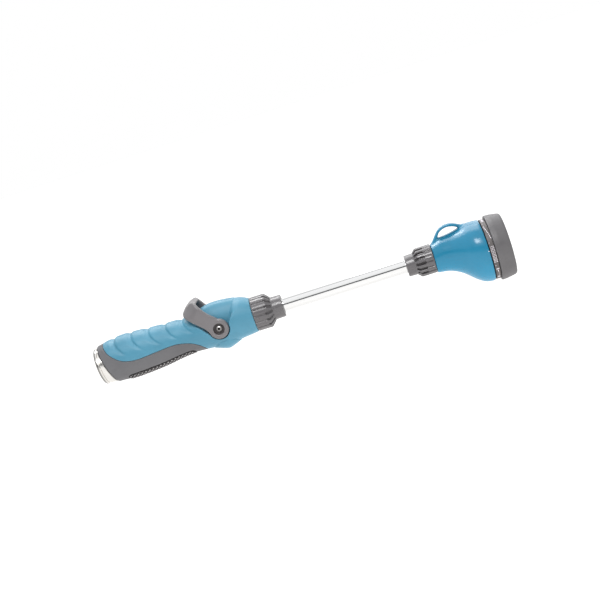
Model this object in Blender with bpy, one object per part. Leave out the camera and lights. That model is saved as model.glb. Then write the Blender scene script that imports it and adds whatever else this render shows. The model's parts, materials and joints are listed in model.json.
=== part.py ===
"""A hose-end watering wand with a thumb lever valve, an aluminium tube and a rotating spray head.

The wand lies along X with its spray head at +X, its lever and hanging loop at +Z and its left side
at +Y. The origin is under the middle of the wand, on the plane that its head rests on. Sizes below are
millimetres; MM turns them into metres.
"""

import math

import bmesh
import bpy
from mathutils import Matrix, Vector

MM = 0.001
MERGE = 1e-7

# Clearances between neighbouring pieces
GAP = 0.3
RUNNING_GAP = 0.35
OVERSHOOT = 5.0

# Whole wand. X is measured along the tube's axis, and Z from that axis.
REAR_X = -200.0
FRONT_X = 201.8

# Water tube
TUBE_R = 6.35
TUBE_BORE_R = 5.35
TUBE_X = (-43.5, 136.5)

# Hose inlet: a female garden hose socket on an axis that droops a little towards the hose
INLET_TILT = math.radians(-4.0)
INLET_Z = -3.6
INLET_R = (17.8, 18.9)
INLET_FACE_R = 15.4
SOCKET_R = 12.45
SOCKET_DEPTH = 12.6
SPIGOT_R = 15.0

# Handle sections: x, top, bottom, half width
HANDLE_SECTIONS = (
    (-201.0, 14.8, -21.8, 18.2),
    (-190.0, 17.2, -22.2, 18.9),
    (-183.0, 18.7, -22.2, 19.0),
    (-169.0, 19.9, -22.9, 19.0),
    (-155.0, 19.3, -22.3, 18.6),
    (-138.0, 18.1, -20.9, 17.8),
    (-119.0, 17.4, -18.2, 17.2),
    (-107.0, 17.4, -17.4, 17.4),
    (-97.0, 19.6, -17.9, 18.4),
    (-84.0, 23.0, -18.8, 20.2),
    (-75.0, 23.4, -19.0, 20.7),
    (-66.0, 22.7, -18.6, 20.2),
    (-58.0, 21.4, -17.8, 19.1),
    (-50.5, 19.2, -17.1, 17.6),
    (-44.8, 16.4, -16.4, 16.4),
)
CAVITY_SECTIONS = (
    (-210.0, 11.1, -19.7, 15.4),
    (-186.5, 12.8, -18.1, 15.4),
    (-182.0, 15.0, -19.0, 15.6),
    (-150.0, 15.2, -18.6, 15.2),
    (-122.0, 13.6, -15.2, 14.0),
    (-110.0, 13.6, -14.4, 11.7),
    (-92.0, 18.0, -15.2, 11.7),
    (-75.0, 20.2, -15.6, 11.7),
    (-58.0, 17.6, -14.6, 11.7),
    (-49.5, 12.9, -12.9, 12.9),
    (-40.0, 12.9, -12.9, 12.9),
)
HANDLE_POINTS = 28
CAVITY_POINTS = 16
GROOVE_PITCH = 16.75
FIRST_GROOVE_X = -178.5
GROOVES = 5
GROOVE_DEPTH = 1.7
GROOVE_WIDTH = 2.6
GROOVE_SWEEP = 10.0
BUMP_X = -76.0
BUMP_HEIGHT = 4.2
BUMP_LENGTH = 5.0
BUMP_ANGLE = math.radians(26.0)

# Grey underside of the grip: the line where it meets the blue shells, from the butt's top forwards
GREY_LINE = (
    (-190.3, 26.0),
    (-190.0, 17.6),
    (-188.7, 13.0),
    (-186.4, 8.6),
    (-182.8, 4.6),
    (-177.8, 0.2),
    (-172.8, -2.4),
    (-165.8, -4.1),
    (-158.0, -4.6),
    (-148.0, -3.9),
    (-128.0, -2.4),
    (-118.0, -3.0),
    (-108.5, -5.6),
    (-102.7, -8.9),
    (-98.8, -12.4),
    (-95.5, -18.0),
    (-94.0, -30.0),
)
BUTT_TOP = (-196.3, 15.0)
BUTT_BOTTOM = (-186.5, -20.5)
PAD_X = (-175.0, -107.0)
PAD_ANGLE = math.radians(42.0)
PAD_PROUD = 0.9
PAD_DEPTH = 1.0
PAD_SIDE_GAP = math.radians(0.9)
PAD_STEPS = (6, 12)
PAD_POCKET_TOP = 3.0

# Lever and rotary valve. The lever turns about Y through the water's axis.
PIVOT_X = -78.2
LEVER_REST = math.radians(131.5)
LEVER_TRAVEL = math.radians(74.0)
LEVER_Y = (14.4, 20.6)
LEVER_INNER_END = 33.3
LEVER_OUTER_END = 38.0
LEVER_CORNERS = (7.0, 11.0)
EYE_R = 9.4
LEVER_FRONT = ((36.2, 6.6), (33.0, 5.8), (22.0, 5.7), (15.0, 6.3), (9.0, 7.2))
LEVER_REAR = ((9.0, -7.2), (13.5, -7.2), (20.0, -7.8), (28.0, -8.4), (33.0, -8.6), (35.8, -7.2))
LEVER_END = ((37.0, -3.0), (37.3, 0.0), (37.1, 3.5))
COUNTERBORE_R = 5.3
COUNTERBORE_Y = 16.8
LEVER_BOSS_R = 6.8
LEVER_BOSS_Y = 12.2
KEY_END_Y = 15.2
KEY_R = 4.15
KEY_FLAT = 3.2
RECESS_R = 10.3
RECESS_REAR = 9.3
RECESS_FRONT = 6.9
RECESS_FRONT_ANGLE = math.radians(53.8)
RECESS_REACH = 45.0
DOME_HALF_WIDTH = 13.9
ROTOR_R = 8.0
ROTOR_HALF_LENGTH = 10.2
ROTOR_BORE_R = 4.2
ROTOR_GROOVE_Y = (6.8, 9.0)
ROTOR_GROOVE_R = 6.35
VALVE_R = 11.1
SPIGOT_X = (-46.8, -31.4)
VALVE_SPIGOT_R = 12.5

# Collar nuts
RIBS = 16
RIB_DEPTH = 1.3
POINTS_PER_RIB = 3
NUT_POINTS = POINTS_PER_RIB * RIBS

# Spray head. The dial turns about an axis below the tube's.
DIAL_Z = -7.8
HEAD_SECTIONS = (
    (132.0, -1.1, 13.5),
    (136.0, -0.5, 14.6),
    (141.0, 0.0, 15.9),
    (145.0, -0.3, 16.8),
    (150.0, -1.2, 18.2),
    (155.0, -2.3, 20.3),
    (160.0, -3.8, 23.3),
    (165.0, -5.1, 26.4),
    (170.0, -6.4, 28.5),
    (174.0, -7.2, 29.3),
    (178.5, -7.7, 29.5),
    (181.0, -7.8, 29.2),
)
HEAD_WALL = 2.4
HEAD_REAR_WALL_X = 135.0
HEAD_POINTS = 28
LOOP_HALF_WIDTH = 4.0
LOOP_OUTLINE = (
    (133.5, 9.0),
    (134.0, 13.0),
    (136.3, 16.4),
    (139.0, 19.8),
    (142.0, 23.2),
    (145.0, 25.2),
    (148.5, 26.5),
    (152.0, 26.9),
    (156.0, 26.5),
    (160.0, 25.0),
    (164.0, 22.9),
    (168.0, 21.0),
    (164.0, 14.0),
)
LOOP_HOLE = (
    (140.6, 10.0),
    (140.6, 17.2),
    (142.8, 20.6),
    (146.0, 22.8),
    (149.5, 23.9),
    (153.0, 24.0),
    (157.0, 23.1),
    (160.0, 21.7),
    (162.2, 20.2),
    (158.0, 10.0),
)
PATTERNS = 8
PORT_Z = 3.0
PORT_RADIUS = PORT_Z - DIAL_Z
DIAL_X = 181.9
PLATE = (-6.8, -2.7)
SPRAY_TURN = math.radians(2.5)
DETENT_RADIUS = 18.0
BEZEL_R = 31.2
BEZEL_REAR = 4.9
FACE_REAR = 14.6
DIAL_LENGTH = FRONT_X - DIAL_X

# The origin: halfway along the wand, level with the lowest point of its head
CENTRE_X = 0.5 * (REAR_X + INLET_FACE_R * math.sin(INLET_TILT) + FRONT_X)
AXIS_Z = BEZEL_R - DIAL_Z

BLUE = ((0.156, 0.451, 0.623), 0.42, 0.0)
HEAD_BLUE = ((0.048, 0.285, 0.514), 0.22, 0.0)
GREY = ((0.201, 0.195, 0.201), 0.6, 0.0)
DARK = ((0.045, 0.045, 0.048), 0.55, 0.0)
RUBBER = ((0.02, 0.02, 0.02), 0.8, 0.0)
ALUMINIUM = ((0.82, 0.83, 0.84), 0.18, 1.0)
STEEL = ((0.6, 0.6, 0.6), 0.25, 1.0)
WHITE = ((0.75, 0.76, 0.77), 0.45, 0.0)


def clear_scene():
    for obj in list(bpy.data.objects):
        bpy.data.objects.remove(obj, do_unlink=True)


def material(name, finish):
    colour, roughness, metallic = finish
    made = bpy.data.materials.new(name)
    made.use_nodes = True
    shader = made.node_tree.nodes["Principled BSDF"]
    shader.inputs["Base Color"].default_value = (*colour, 1.0)
    shader.inputs["Roughness"].default_value = roughness
    shader.inputs["Metallic"].default_value = metallic
    made.diffuse_color = (*colour, 1.0)
    return made


def empty(name, x, z, parent=None, tilt=0.0):
    """A reference frame at x, z on the wand's middle plane, turned by tilt about Y."""
    made = bpy.data.objects.new(name, None)
    made.location = (x * MM, 0.0, z * MM)
    made.rotation_euler = (0.0, tilt, 0.0)
    made.parent = parent
    bpy.context.scene.collection.objects.link(made)
    return made


def add(name, mesh, parent, finish=None):
    """An object from a bmesh. One with no finish is a cutter or a guide, and isn't a piece."""
    bmesh.ops.recalc_face_normals(mesh, faces=mesh.faces)
    data = bpy.data.meshes.new(name)
    mesh.to_mesh(data)
    mesh.free()
    made = bpy.data.objects.new(name, data)
    made.parent = parent
    bpy.context.scene.collection.objects.link(made)
    if finish is None:
        made.hide_render = True
        made.display_type = "WIRE"
    else:
        made.data.materials.append(material(name, finish))
        made.data.shade_smooth()
        made.data.set_sharp_from_angle(angle=math.radians(35))
    return made


def combine(target, operation, *others):
    for other in others:
        modifier = target.modifiers.new(other.name, "BOOLEAN")
        modifier.operation = operation
        modifier.solver = "EXACT"
        modifier.object = other
    return target


def cut(target, *cutters):
    return combine(target, "DIFFERENCE", *cutters)


def arc(centre, radius, start, end, steps):
    """Points on an arc in a plane, angles in radians, both ends included."""
    angles = [start + (end - start) * i / steps for i in range(steps + 1)]
    return [(centre[0] + radius * math.cos(a), centre[1] + radius * math.sin(a)) for a in angles]


def turned(profile, steps):
    """A closed mesh turned about X from (x, radius) points. A profile off the axis closes on itself."""
    mesh = bmesh.new()
    verts = [mesh.verts.new((x * MM, 0.0, r * MM)) for x, r in profile]
    edges = [mesh.edges.new(pair) for pair in zip(verts, verts[1:])]
    if profile[0][1] > 0:
        edges.append(mesh.edges.new((verts[-1], verts[0])))
    bmesh.ops.spin(
        mesh, geom=verts + edges, cent=(0, 0, 0), axis=(1, 0, 0), angle=math.tau, steps=steps
    )
    bmesh.ops.remove_doubles(mesh, verts=mesh.verts, dist=MERGE)
    return mesh


def moved(mesh, x=0.0, y=0.0, z=0.0, turn=None):
    """Turns a bmesh's own X axis to another axis, given as a rotation matrix, and then moves it."""
    if turn is not None:
        bmesh.ops.transform(mesh, matrix=turn, verts=mesh.verts)
    bmesh.ops.translate(mesh, vec=Vector((x, y, z)) * MM, verts=mesh.verts)
    return mesh


X_TO_Y = Matrix.Rotation(math.pi / 2, 4, "Z")


def cylinder(x0, x1, radius, steps, z=0.0):
    return moved(turned([(x0, 0), (x0, radius), (x1, radius), (x1, 0)], steps), z=z)


def cross_cylinder(y0, y1, radius, steps, side=1):
    """A cylinder along Y from y0 to y1, on the left side, or on the right with side -1."""
    low, high = sorted((side * y0, side * y1))
    return moved(cylinder(low, high, radius, steps), turn=X_TO_Y)


def joined(meshes):
    """Several meshes that don't touch, as one, so that one cutter makes a whole set of holes."""
    whole = bmesh.new()
    for mesh in meshes:
        bmesh.ops.recalc_face_normals(mesh, faces=mesh.faces)
        data = bpy.data.meshes.new("piece")
        mesh.to_mesh(data)
        mesh.free()
        whole.from_mesh(data)
        bpy.data.meshes.remove(data)
    return whole


def hole_circle(x0, x1, radius, steps, reach, count, start=math.pi / 2):
    """Cylinders along X, evenly spaced on a circle of radius reach."""
    angles = [start + math.tau * i / count for i in range(count)]
    return [
        moved(cylinder(x0, x1, radius, steps), y=reach * math.cos(a), z=reach * math.sin(a))
        for a in angles
    ]


def ring(x, radius, section, steps=18, sides=6):
    """An O-ring about X, with its own thickness as section radius."""
    centre = (x, radius)
    return turned(arc(centre, section, 0, math.tau, sides)[:-1], steps)


def lofted(rings):
    """A closed mesh through rings of equally many points, with its two ends capped."""
    mesh = bmesh.new()
    loops = [[mesh.verts.new(Vector(point) * MM) for point in points] for points in rings]
    for near, far in zip(loops, loops[1:]):
        for i, corner in enumerate(near):
            j = (i + 1) % len(near)
            mesh.faces.new((corner, near[j], far[j], far[i]))
    mesh.faces.new(loops[0])
    mesh.faces.new(loops[-1])
    return mesh


def prism(outline, low, high):
    """An (x, z) outline extruded along Y from low to high."""
    return lofted([[(x, y, z) for x, z in outline] for y in (low, high)])


def box(x, y, z):
    return prism([(x[0], z[0]), (x[1], z[0]), (x[1], z[1]), (x[0], z[1])], *y)


def coil(x0, x1, radius, wire, turns, steps_per_turn=8, sides=4):
    """A compression spring about X, from x0 to x1, as one swept wire with capped ends."""
    steps = turns * steps_per_turn
    rings = []
    for i in range(steps + 1):
        angle = math.tau * i / steps_per_turn
        outward = Vector((0.0, math.cos(angle), math.sin(angle)))
        centre = outward * radius + Vector((x0 + (x1 - x0) * i / steps, 0.0, 0.0))
        corners = arc((0.0, 0.0), wire, 0, math.tau, sides)[:-1]
        rings.append([centre + outward * a + Vector((b, 0.0, 0.0)) for a, b in corners])
    return lofted(rings)


def between(sections, x):
    """Smoothly read values at x from rows whose first number is x."""
    last = len(sections) - 1
    i = next((k for k in range(last) if x <= sections[k + 1][0]), last - 1)
    rows = [sections[max(i - 1, 0)], sections[i], sections[i + 1], sections[min(i + 2, last)]]
    span = rows[2][0] - rows[1][0]
    f = min(max((x - rows[1][0]) / span, 0.0), 1.0)
    values = []
    for before, start, end, after in list(zip(*rows))[1:]:
        slope_in = (end - before) / (rows[2][0] - rows[0][0]) * span
        slope_out = (after - start) / (rows[3][0] - rows[1][0]) * span
        values.append(
            (2 * f**3 - 3 * f**2 + 1) * start
            + (f**3 - 2 * f**2 + f) * slope_in
            + (3 * f**2 - 2 * f**3) * end
            + (f**3 - f**2) * slope_out
        )
    return values


def ease(value):
    value = min(max(value, 0.0), 1.0)
    return value * value * (3 - 2 * value)


def groove_depth(x, z):
    """How far the finger grooves sink the grip at x and height z. They sweep forward as they fall."""
    shift = GROOVE_SWEEP * max(0.0, (17.0 - z) / 15.0) ** 2
    fade = ease(z / 9.0)
    depth = 0.0
    for i in range(GROOVES):
        away = (x - (FIRST_GROOVE_X + GROOVE_PITCH * i) - shift) / GROOVE_WIDTH
        depth += GROOVE_DEPTH * fade * math.exp(-0.5 * away * away)
    return depth


def handle_point(x, angle, outset=0.0):
    """A point of the handle's surface, its angle measured from +Y towards +Z."""
    top, bottom, half_width = between(HANDLE_SECTIONS, x)
    middle, half_height = 0.5 * (top + bottom), 0.5 * (top - bottom)
    y, z = half_width * math.cos(angle), half_height * math.sin(angle)
    outward = Vector((0.0, y / half_width**2, z / half_height**2)).normalized()
    from_bottom = angle + math.pi / 2
    from_bottom = math.atan2(math.sin(from_bottom), math.cos(from_bottom))
    bump = BUMP_HEIGHT * math.exp(-0.5 * ((x - BUMP_X) / BUMP_LENGTH) ** 2)
    bump *= math.exp(-((from_bottom / BUMP_ANGLE) ** 2))
    height = bump + outset - groove_depth(x, middle + z)
    return Vector((x, y, middle + z)) + outward * height


def handle_stations():
    """Section places along the handle: on each groove, between grooves, and closer at the valve."""
    grip = [FIRST_GROOVE_X + GROOVE_PITCH * 0.25 * i for i in range(-4, 21)]
    valve = [-90.0, -84.0, -79.0, -75.0, -70.0, -66.0, -61.0, -56.0, -51.0, -47.5, -44.8]
    return [-201.0] + [x for x in grip if x < valve[0] - 2.0] + valve


def section_loft(sections, points, stations=None):
    rings = []
    for x in stations or [row[0] for row in sections]:
        top, bottom, half_width = between(sections, x)
        circle = arc((0.0, 0.0), 1.0, 0, math.tau, points)[:-1]
        middle, half_height = 0.5 * (top + bottom), 0.5 * (top - bottom)
        rings.append([(x, half_width * a, middle + half_height * b) for a, b in circle])
    return lofted(rings)


def handle_loft(stations):
    angles = [math.tau * i / HANDLE_POINTS for i in range(HANDLE_POINTS)]
    return lofted([[handle_point(x, angle) for angle in angles] for x in stations])


def handle_patch(x_range, angle, low, high):
    """A closed patch of the handle's underside, between two offsets from its surface."""
    across, steps = PAD_STEPS
    angles = [-math.pi / 2 + angle * (2 * i / across - 1) for i in range(across + 1)]
    stations = [x_range[0] + (x_range[1] - x_range[0]) * i / steps for i in range(steps + 1)]
    return lofted(
        [
            [handle_point(x, a, high) for a in angles]
            + [handle_point(x, a, low) for a in reversed(angles)]
            for x in stations
        ]
    )


def butt_line(margin):
    """Two points on the slanting line where the grip meets the aluminium collar, bottom and top."""
    slope = (BUTT_BOTTOM[0] - BUTT_TOP[0]) / (BUTT_TOP[1] - BUTT_BOTTOM[1])
    return [(BUTT_TOP[0] + slope * (BUTT_TOP[1] - z) + margin, z) for z in (-30.0, 26.0)]


def grey_outline(shift, rear_margin):
    """The grip base's side outline, its line with the shells moved by shift and its butt by a margin."""
    return [(x + shift, z + shift) for x, z in GREY_LINE] + butt_line(rear_margin)


def recess_outline():
    """The side recess in which the lever's arm and eye lie and swing, about the pivot."""
    front = RECESS_FRONT_ANGLE
    right = (math.sin(front), -math.cos(front))
    front_end = (
        RECESS_FRONT * right[0] + RECESS_REACH * math.cos(front),
        RECESS_FRONT * right[1] + RECESS_REACH * math.sin(front),
    )
    rear = LEVER_REST
    left = (-math.sin(rear), math.cos(rear))
    rear_end = (
        RECESS_REAR * left[0] + RECESS_REACH * math.cos(rear),
        RECESS_REAR * left[1] + RECESS_REACH * math.sin(rear),
    )
    start = front - math.asin(RECESS_FRONT / RECESS_R)
    end = rear + math.asin(RECESS_REAR / RECESS_R) - math.tau
    return [front_end] + arc((0.0, 0.0), RECESS_R, start, end, 16) + [rear_end]


def make_inlet(frame):
    """The aluminium hose socket with its washer and screen, about the drooping inlet axis."""
    rear, front = INLET_R
    collar = add(
        "inlet_collar",
        turned(
            [
                (0.0, SOCKET_R + 1.0),
                (0.0, INLET_FACE_R),
                (0.5, rear - 1.0),
                (1.5, rear - 0.2),
                (3.0, rear),
                (16.5, front),
                (16.5, SPIGOT_R),
                (19.0, SPIGOT_R),
                (19.0, 9.6),
                (16.2, 9.6),
                (16.2, 13.2),
                (SOCKET_DEPTH, 13.2),
                (SOCKET_DEPTH, SOCKET_R),
                (1.0, SOCKET_R),
            ],
            28,
        ),
        frame,
        ALUMINIUM,
    )
    washer = turned([(12.8, 12.8), (15.0, 12.8), (15.0, 9.2), (12.8, 9.2)], 24)
    add("hose_washer", washer, frame, RUBBER)
    screen = add("inlet_screen", cylinder(15.3, 15.9, 12.8, 24), frame, STEEL)
    holes = hole_circle(14.0, 17.0, 1.5, 5, 3.4, 4) + hole_circle(14.0, 17.0, 1.5, 5, 7.0, 8)
    cut(screen, add("screen_holes", joined(holes), frame))
    return collar


def make_handle(wand, collar):
    """Two blue shells with finger grooves over a grey base that carries the textured pad."""
    cavity = add("handle_cavity", section_loft(CAVITY_SECTIONS, CAVITY_POINTS), wand)
    base_zone = add("base_zone", prism(grey_outline(0.0, GAP), -30.0, 30.0), wand)
    shell_limit = add("shell_limit", prism(grey_outline(GAP, -20.0), -31.0, 31.0), wand)
    dome_rows = tuple((x, t, b, min(w, DOME_HALF_WIDTH)) for x, t, b, w in HANDLE_SECTIONS[6:])
    dome = add("dome", section_loft(dome_rows, HANDLE_POINTS), wand)
    outline = [(PIVOT_X + x, z) for x, z in recess_outline()]
    outer = handle_loft(handle_stations())
    for side, name in ((1, "left"), (-1, "right")):
        shell = add(f"handle_shell_{name}", outer.copy(), wand, BLUE)
        half = box((-210.0, -40.0), sorted((side * 0.5 * GAP, side * 40.0)), (-40.0, 40.0))
        combine(shell, "INTERSECT", add(f"half_{name}", half, wand))
        recess = add(f"recess_{name}", prism(outline, *sorted((side * 1.0, side * 26.0))), wand)
        cut(recess, dome)
        hole = cross_cylinder(5.0, 26.0, LEVER_BOSS_R + RUNNING_GAP, 20, side)
        stem_hole = add(f"stem_hole_{name}", moved(hole, x=PIVOT_X), wand)
        pocket = cross_cylinder(0.0, ROTOR_HALF_LENGTH + GAP, ROTOR_R + RUNNING_GAP, 28, side)
        rotor_pocket = add(f"rotor_pocket_{name}", moved(pocket, x=PIVOT_X), wand)
        cut(shell, cavity, shell_limit, recess, stem_hole, rotor_pocket)
    base = add("grip_base", outer, wand, GREY)
    combine(base, "INTERSECT", base_zone)
    pocket = handle_patch(
        (PAD_X[0] - GAP, PAD_X[1] + GAP), PAD_ANGLE + PAD_SIDE_GAP, -PAD_DEPTH - GAP, PAD_POCKET_TOP
    )
    cut(base, cavity, add("pad_pocket", pocket, wand))
    pad = handle_patch(PAD_X, PAD_ANGLE, -PAD_DEPTH, PAD_PROUD)
    add("grip_pad", pad, wand, RUBBER)
    forward = [(-150.0, 26.0), (-150.0, -30.0)]
    band = add("butt_zone", prism(forward + butt_line(0.0), -32.0, 32.0), wand)
    core = add("spigot_zone", cylinder(-205.0, -170.0, SPIGOT_R, 36), collar.parent)
    core.location = (-REAR_X * MM, 0.0, 0.0)
    cut(band, core)
    cut(collar, band)


def make_duct(wand):
    """The inner water tube from the inlet collar to the valve."""
    start_x, start_z, end_x = -179.8, -1.65, -88.6
    tilt = math.atan2(start_z, end_x - start_x)
    length = (end_x - start_x) / math.cos(tilt)
    frame = empty("duct_axis", start_x, start_z, wand, tilt)
    profile = [
        (0.0, 14.4),
        (2.2, 14.4),
        (2.2, 8.0),
        (length, 8.0),
        (length, 6.2),
        (0.0, 6.2),
    ]
    add("inlet_duct", turned(profile, 24), frame, WHITE)


def make_valve(wand, pivot):
    """The valve body with its seats, and the rotor with its seals, which turns with the lever."""
    rear_x, seat, port = PIVOT_X - 16.6, 11.3, 4.6
    body = add(
        "valve_body",
        turned(
            [
                (rear_x, 10.4),
                (SPIGOT_X[0], VALVE_R),
                (SPIGOT_X[0], VALVE_SPIGOT_R),
                (SPIGOT_X[1], VALVE_SPIGOT_R),
                (SPIGOT_X[1], 9.2),
                (SPIGOT_X[1] - 3.4, 9.2),
                (SPIGOT_X[1] - 3.4, TUBE_R + RUNNING_GAP),
                (TUBE_X[0] - GAP, TUBE_R + RUNNING_GAP),
                (TUBE_X[0] - GAP, port),
                (PIVOT_X + seat, port),
                (PIVOT_X + seat, 6.9),
                (PIVOT_X - seat + 2.4, 6.9),
                (PIVOT_X - seat + 2.4, port),
                (-88.4, port),
                (-88.4, 8.4),
                (rear_x, 8.4),
            ],
            20,
        ),
        wand,
        WHITE,
    )
    bore = moved(cross_cylinder(-16.0, 16.0, ROTOR_R + RUNNING_GAP, 28), x=PIVOT_X)
    rotor_bore = add("rotor_bore", bore, wand)
    cut(body, rotor_bore)
    for name, start, end in (("front", 5.2, 11.0), ("rear", -8.6, -5.2)):
        profile = [(start, 6.5), (end, 6.5), (end, port), (start, port)]
        valve_seat = add(f"valve_seat_{name}", moved(turned(profile, 20), x=PIVOT_X), wand, RUBBER)
        cut(valve_seat, rotor_bore)
    groove_in, groove_out = ROTOR_GROOVE_Y
    half = [
        (0.0, ROTOR_R),
        (groove_in, ROTOR_R),
        (groove_in, ROTOR_GROOVE_R),
        (groove_out, ROTOR_GROOVE_R),
        (groove_out, ROTOR_R),
        (ROTOR_HALF_LENGTH, ROTOR_R),
        (ROTOR_HALF_LENGTH, KEY_R),
        (KEY_END_Y, KEY_R),
        (KEY_END_Y, 0.0),
    ]
    profile = [(-y, r) for y, r in reversed(half[1:])] + half[1:]
    rotor = add("valve_rotor", moved(turned(profile, 20), turn=X_TO_Y), pivot, WHITE)
    waterway = add("rotor_waterway", cylinder(-12.0, 12.0, ROTOR_BORE_R, 14), pivot)
    waterway.rotation_euler = (0.0, -LEVER_TRAVEL, 0.0)
    cut(rotor, waterway)
    for side, name in ((1, "left"), (-1, "right")):
        for edge in (1, -1):
            flat = box(
                sorted((edge * KEY_FLAT, edge * 8.0)),
                sorted((side * (ROTOR_HALF_LENGTH + 0.6), side * 18.0)),
                (-8.0, 8.0),
            )
            cut(rotor, add(f"key_flat_{name}_{edge}", flat, pivot))
        screw_hole = cross_cylinder(8.4, 18.0, 1.8, 10, side)
        cut(rotor, add(f"rotor_screw_hole_{name}", screw_hole, pivot))
        middle = side * 0.5 * (groove_in + groove_out)
        seal = moved(ring(middle, 7.45, 0.72), turn=X_TO_Y)
        add(f"rotor_seal_{name}", seal, pivot, RUBBER)


def lever_outline():
    """The lever's side outline about its pivot at rest, from distances along and across the arm."""
    eye = arc((0.0, 0.0), EYE_R, math.radians(50), math.radians(300), 16)
    points = list(LEVER_FRONT) + eye + list(LEVER_REAR) + list(LEVER_END)
    along = (math.cos(LEVER_REST), math.sin(LEVER_REST))
    return [(s * along[0] + t * along[1], s * along[1] - t * along[0]) for s, t in points]


def lever_bridge():
    """The lever's U shape seen along its width: two arms and the thumb bar, as (y, along) points."""
    inner, outer = LEVER_Y
    inner_r, outer_r = LEVER_CORNERS
    right, left = math.pi, 0.0
    top = math.pi / 2
    outside = arc((-outer + outer_r, LEVER_OUTER_END - outer_r), outer_r, right, top, 5)
    outside += arc((outer - outer_r, LEVER_OUTER_END - outer_r), outer_r, top, left, 5)
    inside = arc((inner - inner_r, LEVER_INNER_END - inner_r), inner_r, left, top, 4)
    inside += arc((-inner + inner_r, LEVER_INNER_END - inner_r), inner_r, top, right, 4)
    foot = -EYE_R - OVERSHOOT
    return [(-outer, foot)] + outside + [(outer, foot), (inner, foot)] + inside + [(-inner, foot)]


def make_lever(pivot):
    """The yoke that straddles the valve housing, with its screws in deep counterbores."""
    lever = add("control_lever", prism(lever_outline(), -LEVER_Y[1] - 1, LEVER_Y[1] + 1), pivot, GREY)
    along = Vector((math.cos(LEVER_REST), 0.0, math.sin(LEVER_REST)))
    across = Vector((along.z, 0.0, -along.x))
    width = EYE_R + OVERSHOOT
    bridge = lofted(
        [
            [Vector((0.0, y, 0.0)) + along * s + across * t for y, s in lever_bridge()]
            for t in (-width, width)
        ]
    )
    combine(lever, "INTERSECT", add("lever_bridge", bridge, pivot))
    for side, name in ((1, "left"), (-1, "right")):
        boss = cross_cylinder(LEVER_BOSS_Y, LEVER_Y[0] + 1.0, LEVER_BOSS_R, 20, side)
        combine(lever, "UNION", add(f"lever_boss_{name}", boss, pivot))
        head_room = cross_cylinder(COUNTERBORE_Y, 25.0, COUNTERBORE_R, 24, side)
        screw_room = cross_cylinder(10.0, 25.0, 1.8, 10, side)
        key_room = add(
            f"key_room_{name}", cross_cylinder(8.0, KEY_END_Y + GAP, KEY_R + GAP, 20, side), pivot
        )
        key_slab = box(
            (-KEY_FLAT - GAP, KEY_FLAT + GAP), sorted((side * 7.0, side * 17.0)), (-9.0, 9.0)
        )
        combine(key_room, "INTERSECT", add(f"key_slab_{name}", key_slab, pivot))
        cut(
            lever,
            key_room,
            add(f"head_room_{name}", head_room, pivot),
            add(f"screw_room_{name}", screw_room, pivot),
        )
        head_y, tip_y = COUNTERBORE_Y + 0.05, 9.2
        profile = [
            (tip_y, 0.0),
            (tip_y + 1.2, 1.4),
            (head_y, 1.4),
            (head_y, 3.3),
            (head_y + 1.1, 3.1),
            (head_y + 1.8, 2.1),
            (head_y + 1.8, 0.0),
        ]
        screw = turned([(side * y, r) for y, r in profile], 20)
        screw = add(f"lever_screw_{name}", moved(screw, turn=X_TO_Y), pivot, STEEL)
        socket = cross_cylinder(head_y + 0.7, head_y + 4.0, 0.95, 6, side)
        cut(screw, add(f"drive_socket_{name}", socket, pivot))


def collar_nut(name, stations, bore, wand):
    """A ribbed nut about the tube from (x, radius, ribbed) stations, with its bore cut out."""
    rings = []
    for x, radius, ribbed in stations:
        points = []
        for i in range(NUT_POINTS):
            angle = math.tau * i / NUT_POINTS
            reach = radius - RIB_DEPTH if ribbed and i % POINTS_PER_RIB == 0 else radius
            points.append((x, reach * math.cos(angle), reach * math.sin(angle)))
        rings.append(points)
    nut = add(name, lofted(rings), wand, GREY)
    cut(nut, add(f"{name}_bore", turned(bore, 28), wand))


def make_tube(wand):
    """The wand tube with a collar nut, an O-ring and a ferrule at each end."""
    first, last = TUBE_X
    profile = [(first, TUBE_R), (last, TUBE_R), (last, TUBE_BORE_R), (first, TUBE_BORE_R)]
    add("wand_tube", turned(profile, 32), wand, ALUMINIUM)
    running = TUBE_R + RUNNING_GAP
    collar_nut(
        "handle_collar_nut",
        ((-44.5, 16.3, True), (-29.9, 16.3, True), (-25.6, 10.9, False), (-15.8, 10.6, False)),
        [(-50.0, 0.0), (-50.0, 12.9), (-31.4, 12.9), (-25.0, 9.3), (-20.5, 8.2), (-20.5, running)]
        + [(-10.0, running), (-10.0, 0.0)],
        wand,
    )
    collar_nut(
        "head_collar_nut",
        ((105.5, 10.1, False), (114.0, 10.4, False), (117.0, 13.8, True), (131.7, 13.8, True)),
        [(100.0, 0.0), (100.0, running), (109.5, running), (109.5, 8.2), (114.6, 9.0)]
        + [(118.2, 11.2), (135.0, 11.2), (135.0, 0.0)],
        wand,
    )
    ferrule = [(-31.0, 9.0), (-26.0, 8.9), (-21.2, 7.9), (-21.2, running), (-31.0, running)]
    add("tube_ferrule_rear", turned(ferrule, 24), wand, WHITE)
    ferrule = [(110.0, 7.8), (114.0, 8.6), (117.2, 8.7), (117.2, running), (110.0, running)]
    add("tube_ferrule_front", turned(ferrule, 24), wand, WHITE)
    add("tube_seal_rear", ring(-33.6, 7.9, 1.05), wand, RUBBER)
    add("tube_seal_front", ring(120.0, 7.9, 1.05), wand, RUBBER)


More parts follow.
